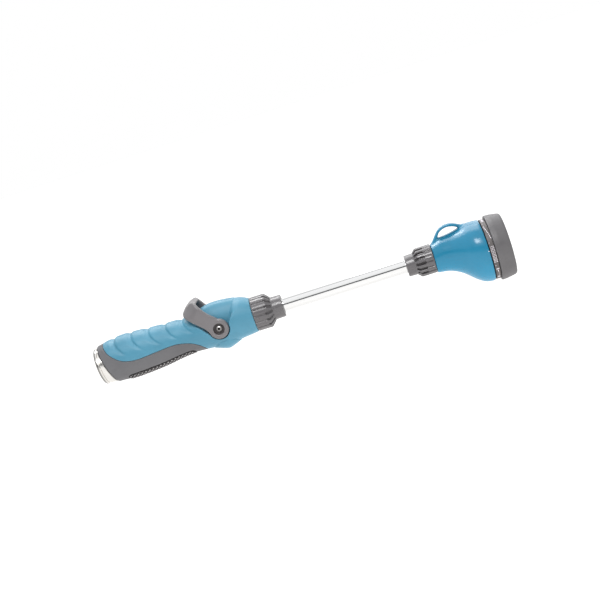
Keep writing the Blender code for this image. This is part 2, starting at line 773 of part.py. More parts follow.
def make_head(wand, dial):
    """The blue head shell with its hanging loop, the water core inside it and the core's small parts."""
    circle = arc((0.0, 0.0), 1.0, 0, math.tau, HEAD_POINTS)[:-1]

    def head_loft(sections, inset):
        return lofted(
            [[(x, (r - inset) * a, z + (r - inset) * b) for a, b in circle] for x, z, r in sections]
        )

    shell = add("head_shell", head_loft(HEAD_SECTIONS, 0.0), wand, HEAD_BLUE)
    loop = add("loop", prism(LOOP_OUTLINE, -LOOP_HALF_WIDTH, LOOP_HALF_WIDTH), wand)
    cut(loop, add("loop_hole", prism(LOOP_HOLE, -10.0, 10.0), wand))
    combine(shell, "UNION", loop)
    inner = [(x, z, r) for x, z, r in HEAD_SECTIONS[1::2] if x > HEAD_REAR_WALL_X]
    inner = [(HEAD_REAR_WALL_X, -0.6, 14.2)] + inner
    x, z, r = HEAD_SECTIONS[-1]
    inner[-1] = (x + OVERSHOOT, z, 29.3)
    cavity = add("head_cavity", head_loft(inner, HEAD_WALL), wand)
    rear_hole = add("head_rear_hole", cylinder(125.0, 140.0, 10.9, 28), wand)
    cut(shell, cavity, rear_hole)
    make_core(wand, dial)


def make_core(wand, dial):
    """The core carries water from the tube to one port, and holds the dial's axle, seal and detent.

    Distances along the dial's axis are from the turning parts' rear face, forwards.
    """
    core = add("head_core", cylinder(119.6, DIAL_X + PLATE[1] - 1.0, 10.6, 24), wand, DARK)
    plate = add("core_plate", cylinder(*PLATE, 26.2, 30), dial)
    axle = add("core_axle", cylinder(-17.0, -0.5, 4.4, 16), dial)
    tower = moved(cylinder(-14.0, PLATE[1] - 0.5, 3.6, 14), z=-DETENT_RADIUS)
    combine(core, "UNION", plate, axle, add("detent_tower", tower, dial))
    running = TUBE_R + RUNNING_GAP
    socket = [(110.0, 0.0), (110.0, 9.4), (121.4, 9.4), (121.4, running)]
    socket += [(TUBE_X[1] + GAP, running), (TUBE_X[1] + GAP, 0.0)]
    channel = [(-50.0, 0.0), (-50.0, 3.5), (-11.0, 3.5), (-11.0, 5.4), (8.0, 5.4), (8.0, 0.0)]
    detent_room = moved(cylinder(-12.5, 8.0, 2.5, 14), z=-DETENT_RADIUS)
    cut(
        core,
        add("tube_socket", turned(socket, 24), wand),
        add("water_channel", moved(turned(channel, 20), z=PORT_RADIUS), dial),
        add("axle_hole", cylinder(-14.0, 8.0, 1.9, 10), dial),
        add("detent_room", detent_room, dial),
    )
    seal = turned([(-5.4, 5.0), (-0.4, 5.0), (-0.4, 3.4), (-5.4, 3.4)], 18)
    add("port_seal", moved(seal, z=PORT_RADIUS), dial, RUBBER)
    add("port_spring", moved(coil(-10.3, -6.2, 4.5, 0.35, 4), z=PORT_RADIUS), dial, STEEL)
    ball = turned(arc((-1.6, 0.0), 2.0, math.pi, 0.0, 6), 12)
    add("detent_ball", moved(ball, z=-DETENT_RADIUS), dial, STEEL)
    add("detent_spring", moved(coil(-11.8, -4.2, 1.7, 0.3, 6), z=-DETENT_RADIUS), dial, STEEL)


def sector(inner, outer, angle, half_angle):
    """A ring sector as (y, z) points about the dial's axis."""
    points = arc((0.0, 0.0), outer, angle - half_angle, angle + half_angle, 3)
    return points + arc((0.0, 0.0), inner, angle + half_angle, angle - half_angle, 1)


def make_dial(dial):
    """The turning spray dial: selector with one chamber for each pattern, index ring, face and bezel."""
    groove = (DETENT_RADIUS - 2.4, DETENT_RADIUS + 2.4)
    profile = [
        (0.0, 0.0),
        (0.0, groove[0]),
        (1.0, groove[0]),
        (1.0, groove[1]),
        (0.0, groove[1]),
        (0.0, 26.3),
        (FACE_REAR - GAP, 26.3),
        (FACE_REAR - GAP, 0.0),
    ]
    selector = add("selector_body", turned(profile, 30), dial, DARK)
    chambers = []
    for i in range(PATTERNS):
        outline = sector(7.0, 24.6, math.pi / 2 + math.tau * i / PATTERNS, math.radians(19.0))
        chambers.append(lofted([[(x, y, z) for y, z in outline] for x in (3.2, 20.0)]))
    ports = hole_circle(-2.0, 6.0, 3.1, 10, PORT_RADIUS, PATTERNS)
    cut(
        selector,
        add("chambers", joined(chambers), dial),
        add("ports", joined(ports), dial),
        add("selector_hole", cylinder(-5.0, 25.0, 4.7, 16), dial),
    )
    band = [(0.0, 28.6), (0.3, 28.8), (4.5, 28.8), (4.5, 26.7), (0.0, 26.7)]
    add("dial_ring", turned(band, 28), dial, DARK)
    bezel = [
        (BEZEL_REAR, 26.7),
        (BEZEL_REAR, 30.6),
        (BEZEL_REAR + 0.7, BEZEL_R),
        (BEZEL_REAR + 5.0, BEZEL_R - 0.2),
        (DIAL_LENGTH - 1.0, 29.3),
        (DIAL_LENGTH, 28.4),
        (DIAL_LENGTH, 27.6),
        (FACE_REAR - GAP, 27.6),
        (FACE_REAR - GAP, 26.7),
    ]
    add("face_bezel", turned(bezel, 32), dial, GREY)
    make_face(dial)
    head = FACE_REAR + 0.2
    screw = [(-12.5, 0.0), (-11.0, 1.5), (head, 1.5), (head, 3.6), (head + 1.5, 3.4)]
    screw += [(head + 2.2, 2.4), (head + 2.2, 0.0)]
    screw = add("dial_screw", turned(screw, 16), dial, STEEL)
    cut(screw, add("dial_screw_drive", cylinder(head + 1.1, 25.0, 1.1, 6), dial))


def make_face(dial):
    """The spray face with its nozzle holes, one group for each chamber."""
    front = FACE_REAR + 3.4
    face = [(FACE_REAR, 4.1), (FACE_REAR, 27.2), (front - 0.8, 27.2), (front, 26.2), (front, 4.1)]
    face = add("spray_face", turned(face, 28), dial, DARK)
    holes = []
    for reach, radius in ((9.0, 1.0), (15.0, 1.3), (21.5, 1.6)):
        start = math.pi / 2 + SPRAY_TURN
        holes += hole_circle(10.0, 25.0, radius, 6, reach, PATTERNS, start)
    cut(face, add("spray_holes", joined(holes), dial))


def main():
    clear_scene()
    wand = empty("wand", -CENTRE_X, AXIS_Z)
    inlet = empty("inlet_axis", REAR_X, INLET_Z, wand, INLET_TILT)
    pivot = empty("lever_pivot", PIVOT_X, 0.0, wand)
    dial = empty("dial_axis", DIAL_X, DIAL_Z, wand)
    collar = make_inlet(inlet)
    make_handle(wand, collar)
    make_duct(wand)
    make_valve(wand, pivot)
    make_lever(pivot)
    make_tube(wand)
    make_head(wand, dial)
    make_dial(dial)


main()
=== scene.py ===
import json
import math

import bpy
import numpy as np
from mathutils import Matrix, Vector

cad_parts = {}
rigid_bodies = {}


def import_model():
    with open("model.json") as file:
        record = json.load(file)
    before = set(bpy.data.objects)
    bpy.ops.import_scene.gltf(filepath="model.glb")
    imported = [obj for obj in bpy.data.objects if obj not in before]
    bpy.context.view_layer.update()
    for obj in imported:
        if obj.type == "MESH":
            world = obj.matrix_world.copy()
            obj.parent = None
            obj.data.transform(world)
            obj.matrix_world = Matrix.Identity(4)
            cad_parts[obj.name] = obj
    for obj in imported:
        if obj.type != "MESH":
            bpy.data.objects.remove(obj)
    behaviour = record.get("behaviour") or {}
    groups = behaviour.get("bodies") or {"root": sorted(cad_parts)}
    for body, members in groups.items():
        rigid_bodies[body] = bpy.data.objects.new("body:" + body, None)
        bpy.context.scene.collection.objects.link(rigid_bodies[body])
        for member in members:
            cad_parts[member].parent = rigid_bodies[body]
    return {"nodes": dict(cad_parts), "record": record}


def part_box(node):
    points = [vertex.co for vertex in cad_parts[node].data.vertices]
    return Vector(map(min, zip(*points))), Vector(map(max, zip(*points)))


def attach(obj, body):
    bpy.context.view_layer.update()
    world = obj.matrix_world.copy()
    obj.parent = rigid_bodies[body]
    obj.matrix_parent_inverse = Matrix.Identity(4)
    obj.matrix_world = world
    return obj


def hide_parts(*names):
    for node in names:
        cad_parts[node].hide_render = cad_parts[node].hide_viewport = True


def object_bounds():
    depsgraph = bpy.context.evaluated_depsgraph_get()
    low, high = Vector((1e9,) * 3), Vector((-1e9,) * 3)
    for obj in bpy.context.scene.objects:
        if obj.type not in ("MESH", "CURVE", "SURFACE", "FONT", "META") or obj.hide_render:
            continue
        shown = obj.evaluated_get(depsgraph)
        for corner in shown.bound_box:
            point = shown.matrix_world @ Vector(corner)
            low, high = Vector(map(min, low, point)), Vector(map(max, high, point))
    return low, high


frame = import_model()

CAD_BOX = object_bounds()
MM = 0.001

# The wand's own millimetres: X along the tube, Z up from its axis. ORIGIN is that axis in the frame.
TUBE_X = (-43.5, 136.5)
TUBE_R = 6.35
tube_low, tube_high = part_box("wand_tube")
ORIGIN = np.array([tube_low[0] - TUBE_X[0] * MM, 0.0, 0.5 * (tube_low[2] + tube_high[2])])

# The handle's x, top, bottom and half width, from its butt to its front.
HANDLE_SECTIONS = (
    (-201.0, 14.8, -21.8, 18.2), (-190.0, 17.2, -22.2, 18.9), (-183.0, 18.7, -22.2, 19.0),
    (-169.0, 19.9, -22.9, 19.0), (-155.0, 19.3, -22.3, 18.6), (-138.0, 18.1, -20.9, 17.8),
    (-119.0, 17.4, -18.2, 17.2), (-107.0, 17.4, -17.4, 17.4), (-97.0, 19.6, -17.9, 18.4),
    (-84.0, 23.0, -18.8, 20.2), (-75.0, 23.4, -19.0, 20.7), (-66.0, 22.7, -18.6, 20.2),
    (-58.0, 21.4, -17.8, 19.1), (-50.5, 19.2, -17.1, 17.6), (-44.8, 16.4, -16.4, 16.4),
)
HANDLE_FRONT = -44.8
WALL = 2.5
DOME_WALL = 2.2
DOME_RISE = 0.8
SEAM = 0.12
SEAM_R = 0.7
PARTING = 0.08
GROOVE_PITCH = 16.75
FIRST_GROOVE_X = -178.5
GROOVES = 5
GROOVE_DEPTH = 1.25
GROOVE_WIDTHS = (2.0, 1.25)
GROOVE_SWEEP = 10.0
GROOVE_TOP_Z = 17.0
GROOVE_FALL = 15.0
GROOVE_FOOT_Z = -0.5
GROOVE_FADE = 12.0
BUMP_X = -76.0
BUMP_HEIGHT = 4.5
BUMP_LENGTH = 12.6
BUMP_ANGLE = math.radians(41.0)
BUMP_FOOT = 0.5
# Where the blue shells meet the grey underside, as (x, z) seen from the side.
GREY_LINE = (
    (-190.3, 26.0), (-190.0, 17.6), (-188.7, 13.0), (-186.4, 8.6), (-182.8, 4.6), (-177.8, 0.2),
    (-172.8, -2.4), (-165.8, -4.1), (-158.0, -4.6), (-148.0, -3.9), (-128.0, -2.4),
    (-118.0, -3.0), (-108.5, -5.6), (-102.7, -8.9), (-98.8, -12.4), (-95.5, -18.0),
    (-94.0, -30.0),
)
BUTT_TOP = (-196.3, 15.0)
BUTT_BOTTOM = (-186.5, -20.5)
BUTT_SLOPE = (BUTT_BOTTOM[0] - BUTT_TOP[0]) / (BUTT_TOP[1] - BUTT_BOTTOM[1])
PAD_X = (-175.0, -107.0)
PAD_ANGLE = math.radians(42.0)
PAD_PROUD = 0.3
PAD_DEPTH = 1.0
PAD_CORNER = 5.0
PIP_PITCH = (3.8, 4.8)
PIP_HEIGHT = 0.55

PIVOT_X = -78.2
LEVER_REST = math.radians(131.5)
LEVER_Y = (14.4, 20.6)
LEVER_ENDS = (33.3, 37.9)
LEVER_CORNERS = (8.5, 14.0)
# The lever's outline from its pivot, as (along its arms, forward of their middle).
LEVER_FRONT = ((33.4, 7.9), (30.5, 8.0), (26.0, 7.3), (20.0, 6.5), (15.0, 6.5), (9.0, 7.2))
LEVER_REAR = ((9.0, -7.2), (13.5, -7.2), (20.0, -7.8), (28.0, -8.4), (33.0, -8.6), (36.0, -7.0))
LEVER_END = ((37.0, -3.5), (37.3, 0.0), (36.7, 3.2), (35.4, 6.0))
EYE_R = 9.4
BOSS_R = 6.8
BOSS_Y = (12.2, 15.0)
LIP_ALONG = 32.7
LIP_HALF = 2.4
LIP_REAR = 4.5
LIP_FRONT = 8.3
LIP_BOW = 1.7
# The wand's vertical in the lever's axes at rest, and how high the lip's level top stands.
LIP_UP = (0.749, 0.663)
LIP_TOP = 30.5
COUNTERBORE_R = 5.3
COUNTERBORE_Y = 16.8
RECESS_R = 10.3
RECESS_REAR = 9.3
RECESS_FRONT = 6.9
RECESS_FRONT_ANGLE = math.radians(53.8)
RECESS_REACH = 45.0
RECESS_CORNER_R = (1.4, 7.0)
RECESS_BRIM_R = (1.0, 3.0)
DOME_HALF_WIDTH = 13.9
STEM_HOLE_R = 7.15
HEX_R = 1.2
SCREW_R = 3.3
SCREW_TOP = 1.95

INLET_X = -200.0
INLET_Z = -3.6
INLET_TILT = math.radians(-4.0)
COLLAR_R = 17.85
COLLAR_FLARE = 12.6
COLLAR_BUTT_R = 18.7
RIM_X = 3.9
THREAD_PITCH = 2.21
THREAD_ROOT_R = 13.25
THREAD_DEPTH = 0.8
THREAD_X = (1.2, 12.0)

RIBS = 16
RIB_CROWN = 0.35
LINE_DEPTH = 0.55
POCKET_R = 1.5
NUT_WALL = 0.7

# The head's x, the height of its middle and its radius.
HEAD_SECTIONS = (
    (132.0, -1.1, 13.5), (136.0, -0.5, 14.6), (141.0, 0.0, 15.9), (145.0, -0.3, 16.8),
    (150.0, -1.2, 18.2), (155.0, -2.3, 20.3), (160.0, -3.8, 23.3), (165.0, -5.1, 26.4),
    (170.0, -6.4, 28.5), (174.0, -7.2, 29.3), (178.5, -7.7, 29.5), (181.0, -7.8, 29.2),
)
HEAD_WALL = 2.3
LOOP_HALF_WIDTH = 4.0
# The hanging loop and its hole, as (x, z) seen from the side.
LOOP_OUTLINE = (
    (133.5, 9.0), (134.0, 13.0), (136.3, 16.4), (139.0, 19.8), (142.0, 23.2), (145.0, 25.2),
    (148.5, 26.5), (152.0, 26.9), (156.0, 26.5), (160.0, 25.0), (164.0, 22.9), (168.0, 21.0),
    (164.0, 14.0),
)
LOOP_HOLE = (
    (150.0, 17.3), (141.6, 16.9), (142.8, 20.6), (146.0, 22.8), (149.5, 23.9), (153.0, 24.0),
    (157.0, 23.1), (160.0, 21.7), (162.2, 20.2), (160.4, 18.8),
)
DIAL_X = 181.9
DIAL_Z = -7.8
PATTERNS = 8
RING_R = 28.8
RING_BORE = 26.7
FACE_FRONT = 18.0
FACE_R = 27.2
PATTERN_R = 17.2
SCREW_SEAT = 16.4


# ---------------------------------------------------------------- shapes as distance fields


def smooth_max(a, b, radius):
    """The larger of two fields, with the edge where they meet rounded."""
    near = np.maximum(radius - np.abs(a - b), 0.0) / radius
    return np.maximum(a, b) + near * near * radius * 0.25


def smooth_min(a, b, radius):
    return -smooth_max(-a, -b, radius)


def ease(value):
    value = np.clip(value, 0.0, 1.0)
    return value * value * (3 - 2 * value)


def between(rows, x):
    """Smoothly read columns at x from rows whose first number is x."""
    rows = np.asarray(rows, float)
    at, last = rows[:, 0], len(rows) - 1
    i = np.clip(np.searchsorted(at, x, side="right") - 1, 0, last - 1)
    before, after = np.maximum(np.arange(last + 1) - 1, 0), np.minimum(np.arange(last + 1) + 1, last)
    slopes = (rows[after] - rows[before]) / (at[after] - at[before])[:, None]
    span = at[i + 1] - at[i]
    f = np.clip((x - at[i]) / span, 0.0, 1.0)
    columns = []
    for c in range(1, rows.shape[1]):
        columns.append(
            (2 * f**3 - 3 * f**2 + 1) * rows[i, c]
            + (f**3 - 2 * f**2 + f) * slopes[i, c] * span
            + (3 * f**2 - 2 * f**3) * rows[i + 1, c]
            + (f**3 - f**2) * slopes[i + 1, c] * span
        )
    return columns


def curve(points, steps=6):
    """More points along a smooth open curve through the given ones."""
    p = np.asarray(points, float)
    ends = np.concatenate([2 * p[:1] - p[1:2], p, 2 * p[-1:] - p[-2:-1]])
    made = []
    for a, b, c, d in zip(ends, ends[1:], ends[2:], ends[3:]):
        for t in np.arange(steps) / steps:
            square, cube = 2 * a - 5 * b + 4 * c - d, 3 * b - a - 3 * c + d
            made.append(0.5 * (2 * b + (c - a) * t + square * t**2 + cube * t**3))
    return np.array(made + [p[-1]])


def softened(points, rounds=2):
    """A closed outline with its corners cut, each round cutting them finer."""
    p = np.asarray(points, float)
    for _ in range(rounds):
        after = np.roll(p, -1, 0)
        p = np.stack([0.75 * p + 0.25 * after, 0.25 * p + 0.75 * after], 1).reshape(-1, 2)
    return p


def arc(centre, radius, start, end, steps):
    angles = start + (end - start) * np.arange(steps + 1) / steps
    return [(centre[0] + radius * math.cos(a), centre[1] + radius * math.sin(a)) for a in angles]


def outline(points, a, b):
    """Distance from (a, b) to a closed outline, negative inside."""
    points = np.asarray(points, float)
    shape = np.broadcast(a, b).shape
    nearest, inside = np.full(shape, 1e12), np.zeros(shape, bool)
    for (ax, az), (bx, bz) in zip(points, np.roll(points, -1, 0)):
        ex, ez = bx - ax, bz - az
        if ex * ex + ez * ez < 1e-12:
            continue
        px, pz = a - ax, b - az
        t = np.clip((px * ex + pz * ez) / (ex * ex + ez * ez), 0.0, 1.0)
        nearest = np.minimum(nearest, (px - t * ex) ** 2 + (pz - t * ez) ** 2)
        if ez:
            inside ^= ((az > b) != (bz > b)) & (px < pz * ex / ez)
    return np.where(inside, -1.0, 1.0) * np.sqrt(nearest)


def skin(field, low, high, step, rounds=3):
    """A field's zero surface as points, quads and normals, with one point in each cell that it crosses."""
    axes = [np.arange(a, b + step, step) for a, b in zip(low, high)]
    shape = [len(axis) - 1 for axis in axes]
    grid = (axes[0][:, None, None], axes[1][None, :, None], axes[2][None, None, :])
    value = np.broadcast_to(field(*grid), [n + 1 for n in shape])
    inside = value < 0
    corners = [(i, j, k) for i in (0, 1) for j in (0, 1) for k in (0, 1)]
    count = np.zeros(shape, np.int8)
    for i, j, k in corners:
        count += inside[i : shape[0] + i, j : shape[1] + j, k : shape[2] + k]
    active = (count > 0) & (count < 8)
    cell = np.argwhere(active)
    index = np.full(shape, -1, np.int64)
    index[active] = np.arange(len(cell))
    at = [value[cell[:, 0] + i, cell[:, 1] + j, cell[:, 2] + k] for i, j, k in corners]
    total, hits = np.zeros((len(cell), 3)), np.zeros(len(cell))
    for a, corner in enumerate(corners):
        for axis in range(3):
            if corner[axis]:
                continue
            b = a + (4 >> axis)
            crossed = (at[a] < 0) != (at[b] < 0)
            t = at[a][crossed] / (at[a][crossed] - at[b][crossed])
            total[crossed] += np.array(corner)
            total[crossed, axis] += t
            hits[crossed] += 1
    points = np.array(low) + (cell + total / hits[:, None]) * step
    quads = []
    for a in range(3):
        b, c = (a + 1) % 3, (a + 2) % 3
        lower, upper = [slice(None)] * 3, [slice(None)] * 3
        lower[a], upper[a] = slice(0, -1), slice(1, None)
        edge = np.argwhere(inside[tuple(lower)] != inside[tuple(upper)])
        edge = edge[(edge[:, b] > 0) & (edge[:, c] > 0) & (edge[:, b] < shape[b]) & (edge[:, c] < shape[c])]
        ring = []
        for db, dc in ((1, 1), (0, 1), (0, 0), (1, 0)):
            near = edge.copy()
            near[:, b] -= db
            near[:, c] -= dc
            ring.append(index[tuple(near.T)])
        made = np.stack(ring, 1)
        flip = ~inside[tuple(edge.T)]
        made[flip] = made[flip][:, ::-1]
        quads.append(made)
    quads = np.concatenate(quads)
    points, normals = settled(field, points, quads, step, rounds)
    return points, quads, normals


def settled(field, points, quads, step, rounds):
    """Evens a surface's points out and moves them onto the field's zero. Also returns their normals."""
    pairs = np.concatenate([quads[:, [i, (i + 1) % 4]] for i in range(4)])
    for turn in range(rounds + 2):
        if turn < rounds - 1:
            total = np.zeros_like(points)
            hits = np.zeros(len(points))
            for a, b in ((0, 1), (1, 0)):
                np.add.at(total, pairs[:, a], points[pairs[:, b]])
                np.add.at(hits, pairs[:, a], 1)
            points = 0.5 * points + 0.5 * total / np.maximum(hits, 1)[:, None]
        here = field(*points.T)
        slope = np.stack([field(*(points + 0.02 * e).T) - here for e in np.eye(3)], 1) / 0.02
        size = np.maximum((slope**2).sum(1), 1e-2)
        move = -(here / size)[:, None] * slope
        length = np.linalg.norm(move, axis=1)
        points = points + move * np.minimum(1.0, 0.4 * step / np.maximum(length, 1e-9))[:, None]
    return points, slope / np.maximum(np.linalg.norm(slope, axis=1), 1e-6)[:, None]


# ---------------------------------------------------------------- meshes


def to_frame(points):
    return np.asarray(points, float).reshape(-1, 3) * MM + ORIGIN


def mesh_of(name, points, faces, normals=None, sharp=None):
    """An object from points in the wand's millimetres and faces that all have equally many corners."""
    faces = np.asarray(faces, np.int32)
    mesh = bpy.data.meshes.new(name)
    mesh.vertices.add(len(points))
    mesh.vertices.foreach_set("co", to_frame(points).astype(np.float32).ravel())
    mesh.loops.add(faces.size)
    mesh.loops.foreach_set("vertex_index", faces.ravel())
    mesh.polygons.add(len(faces))
    mesh.polygons.foreach_set("loop_start", np.arange(0, faces.size, faces.shape[1], dtype=np.int32))
    mesh.update(calc_edges=True)
    mesh.validate()
    mesh.shade_smooth()
    if normals is not None:
        mesh.normals_split_custom_set_from_vertices(normals.tolist())
    elif sharp:
        mesh.set_sharp_from_angle(angle=math.radians(sharp))
    made = bpy.data.objects.new(name, mesh)
    bpy.context.scene.collection.objects.link(made)
    return made


def write_painted_shade(made, values):
    """Marks how much painted shade each point takes: darkening painted into recesses, sockets and along some
    edges.
    """
    write_mark(made, "deep", values)


def write_mark(made, name, values):
    """Gives each point a number that the materials read by this name."""
    mark = made.data.attributes.new(name, "FLOAT", "POINT")
    mark.data.foreach_set("value", np.asarray(values, np.float32))


def finished(made, finish, body, slot, *replaced):
    made.data.materials.append(finish)
    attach(made, body)
    if replaced:
        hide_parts(*replaced)
    return made


def rounded(profile, radius, steps=4):
    """A closed (x, r) profile with its corners rounded. A point's third number is its own radius."""
    made, count = [], len(profile)
    for i, point in enumerate(profile):
        here = np.array(point[:2], float)
        size = point[2] if len(point) > 2 else radius
        before = np.array(profile[i - 1][:2], float) - here
        after = np.array(profile[(i + 1) % count][:2], float) - here
        lb, la = np.linalg.norm(before), np.linalg.norm(after)
        before, after = before / lb, after / la
        half = 0.5 * math.acos(float(np.clip(before @ after, -1, 1)))
        if size <= 0 or half > 1.55:
            made.append(here)
            continue
        reach = min(size / math.tan(half), 0.48 * lb, 0.48 * la)
        a, c = here + before * reach, here + after * reach
        for t in np.arange(steps + 1) / steps:
            made.append((1 - t) ** 2 * a + 2 * t * (1 - t) * here + t * t * c)
    return np.array(made)


def turned(profile, steps):
    """A closed surface of (x, r) points turned about X, as points and quads."""
    angles = math.tau * np.arange(steps) / steps
    x, r = profile[:, 0][:, None], profile[:, 1][:, None]
    return ringed(x + 0 * angles, r, angles), wrapped(len(profile), steps)


def ringed(x, r, angles):
    """Points at a distance r from the X axis."""
    return np.stack([x, r * np.cos(angles), r * np.sin(angles)], -1)


def wrapped(rows, columns):
    """The quads of a grid of points that is closed both ways."""
    i, j = np.meshgrid(np.arange(rows), np.arange(columns), indexing="ij")
    a, b = (i + 1) % rows, (j + 1) % columns
    quads = np.stack([i * columns + j, i * columns + b, a * columns + b, a * columns + j], -1)
    return quads.reshape(-1, 4)


def outward(points, quads):
    """The quads, turned round if they face inwards."""
    p = np.asarray(points).reshape(-1, 3)[quads]
    volume = np.einsum("ij,ij->i", p[:, 0], np.cross(p[:, 1], p[:, 2]))
    volume += np.einsum("ij,ij->i", p[:, 0], np.cross(p[:, 2], p[:, 3]))
    return quads[:, ::-1] if volume.sum() < 0 else quads


def lathe(name, profile, steps, at=(0.0, 0.0, 0.0), tilt=0.0):
    """A turned piece about an axis along X that starts at a place and may be tilted about Y."""
    points, quads = turned(profile, steps)
    return mesh_of(name, placed(points, at, tilt), outward(points, quads), sharp=32)


def placed(points, at, tilt=0.0):
    """Points tilted about Y, then moved."""
    c, s = math.cos(tilt), math.sin(tilt)
    p = np.asarray(points, float).reshape(-1, 3)
    return np.stack([c * p[:, 0] + s * p[:, 2], p[:, 1], -s * p[:, 0] + c * p[:, 2]], 1) + np.array(at)


# ---------------------------------------------------------------- materials


class Nodes:
    """A node tree, with short calls for what the materials and the sky are built from."""

    def __init__(self, tree):
        self.nodes, self.links = tree.nodes, tree.links

    def make(self, kind, inputs=None, **settings):
        made = self.nodes.new(f"ShaderNode{kind}")
        for name, value in settings.items():
            setattr(made, name, value)
        self.feed(made, inputs or {})
        return made

    def feed(self, node, inputs):
        """Gives a node's inputs numbers, colours or other nodes' outputs."""
        for name, value in inputs.items():
            socket = node.inputs[name]
            if isinstance(value, bpy.types.NodeSocket):
                self.links.new(value, socket)
            elif socket.type == "RGBA":
                socket.default_value = (*value, 1.0)
            else:
                socket.default_value = value

    def place(self, kind="Object"):
        """Coordinates fixed to the object or, in the world, the direction."""
        return self.make("TexCoord").outputs[kind]

    def noise(self, place, scale, detail=2.0, roughness=0.5):
        inputs = {"Vector": place, "Scale": scale, "Detail": detail, "Roughness": roughness}
        return self.make("TexNoise", inputs).outputs["Fac"]

    def remap(self, value, low, high, to_low, to_high):
        inputs = {"Value": value, "From Min": low, "From Max": high, "To Min": to_low, "To Max": to_high}
        return self.make("MapRange", inputs).outputs["Result"]

    def mark(self, name):
        """What write_mark gave the points under this name."""
        return self.make("Attribute", attribute_name=name).outputs["Fac"]

    def worked_out(self, operation, a, b):
        return self.make("Math", {0: a, 1: b}, operation=operation).outputs["Value"]

    def mixed(self, factor, a, b):
        """One colour going over to another. Inputs 6 and 7 and output 2 are a Mix node's colours."""
        return self.make("Mix", {0: factor, 6: a, 7: b}, data_type="RGBA").outputs[2]


def new_material(name):
    made = bpy.data.materials.new(name)
    made.use_nodes = True
    tree = Nodes(made.node_tree)
    return made, tree, tree.nodes["Principled BSDF"]


def surfaced(tree, shader, colour, rough, height, depth):
    """Links a shader's colour and roughness, and a height whose depth is in millimetres."""
    bump = tree.make("Bump", {"Strength": 1.0, "Distance": depth * MM, "Height": height})
    tree.feed(shader, {"Base Color": colour, "Roughness": rough, "Normal": bump.outputs["Normal"]})


# Noise cells per metre.
TONE_SCALE = 38.0
CLOUD_SCALE = 70.0
PATCH_SCALE = 110.0
EDGE_RANGE = (0.535, 0.62)


def moulded(
    name, colour, roughness, grain=0.45, depth=0.03, vary=0.06, wear=0.12, specular=0.5, sheen=0.0, deep=None
):
    """Moulded plastic: a fine grain, slow changes of colour and roughness, and edges rubbed paler."""
    made, tree, shader = new_material(name)
    place = tree.place()
    tone = tree.remap(tree.noise(place, TONE_SCALE, 3.0), 0.35, 0.65, 0.0, 1.0)
    dark = tuple(c * (1 - vary) for c in colour)
    pale = tuple(min(1.0, c * (1 + vary) + 0.004) for c in colour)
    body = tree.mixed(tone, dark, pale)
    # deep is a painted shade colour, mixed in as far as each point's painted shade mark goes.
    if deep:
        body = tree.mixed(tree.mark("deep"), body, deep)
    rubbed = tuple(c + (1.0 - c) * wear for c in colour)
    edge = tree.remap(tree.make("NewGeometry").outputs["Pointiness"], *EDGE_RANGE, 0.0, 0.8)
    patch = tree.noise(place, PATCH_SCALE, 4.0, 0.6)
    rough = tree.remap(patch, 0.3, 0.7, roughness - 0.04, roughness + 0.05)
    fine = tree.noise(place, 1000.0 / grain)
    surfaced(tree, shader, tree.mixed(edge, body, rubbed), rough, fine, depth)
    tree.feed(shader, {"Specular IOR Level": specular, "Sheen Weight": sheen, "Sheen Roughness": 0.4})
    return made


def polished(name, colour, roughness, stretch, scratch, deep=None):
    """Polished metal with fine lines, drawn out along the axes where stretch is small."""
    made, tree, shader = new_material(name)
    place = tree.place()
    drawn_out = tree.make("Mapping", {"Vector": place, "Scale": stretch}).outputs["Vector"]
    lines = tree.noise(drawn_out, 1.0, 3.0, 0.6)
    body = tree.mixed(tree.noise(place, CLOUD_SCALE, 3.0), tuple(0.96 * c for c in colour), colour)
    # deep is a painted shade colour, mixed in as far as each point's painted shade mark goes.
    if deep:
        body = tree.mixed(tree.mark("deep"), body, deep)
    rough = tree.remap(lines, 0.3, 0.7, roughness * 0.7, roughness * 1.5)
    surfaced(tree, shader, body, rough, lines, scratch)
    tree.feed(shader, {"Metallic": 1.0})
    return made


def pad_rubber(name, ground, pip):
    """Rubber whose raised pips are coloured paler than the ground between them, by each point's pip mark."""
    made = moulded(name, ground, 0.75, 0.3, 0.03, wear=0.0, specular=0.15)
    tree = Nodes(made.node_tree)
    colour = tree.nodes["Principled BSDF"].inputs["Base Color"]
    tree.links.new(tree.mixed(tree.mark("pip"), colour.links[0].from_socket, pip), colour)
    return made


# Painted shade colours, mixed in where a point's painted shade mark is high: nut pockets and bores, lever
# counterbores, the collar's rim and back edge, screw sockets.
NUT_SHADE = (0.022, 0.019, 0.021)
LEVER_SHADE = (0.035, 0.028, 0.030)
COLLAR_SHADE = (0.20, 0.198, 0.19)
STEEL_SHADE = (0.02, 0.018, 0.018)
GRIP_BLUE = moulded("grip_blue", (0.041, 0.188, 0.280), 0.50, 0.35, 0.02, sheen=0.2)
HEAD_BLUE = moulded("head_blue", (0.016, 0.196, 0.334), 0.22, 1.2, 0.004, vary=0.04, wear=0.0, specular=0.42)
GRIP_GREY = moulded("grip_grey", (0.098, 0.098, 0.105), 0.52, 0.4, 0.04, specular=0.3)
LEVER_GREY = moulded(
    "lever_grey", (0.118, 0.112, 0.118), 0.36, 0.4, 0.03, wear=0.25, specular=0.6, deep=LEVER_SHADE
)
NUT_GREY = moulded("nut_grey", (0.088, 0.084, 0.089), 0.28, 0.5, 0.012, specular=0.6, deep=NUT_SHADE)
BEZEL_GREY = moulded("bezel_grey", (0.088, 0.085, 0.090), 0.48, 0.45, 0.04, wear=0.1, specular=0.6)
RING_DARK = moulded("ring_dark", (0.085, 0.076, 0.076), 0.50, 0.4, 0.02, wear=0.08)
FACE_DARK = moulded("face_dark", (0.050, 0.050, 0.054), 0.42, 0.4, 0.015, wear=0.15)
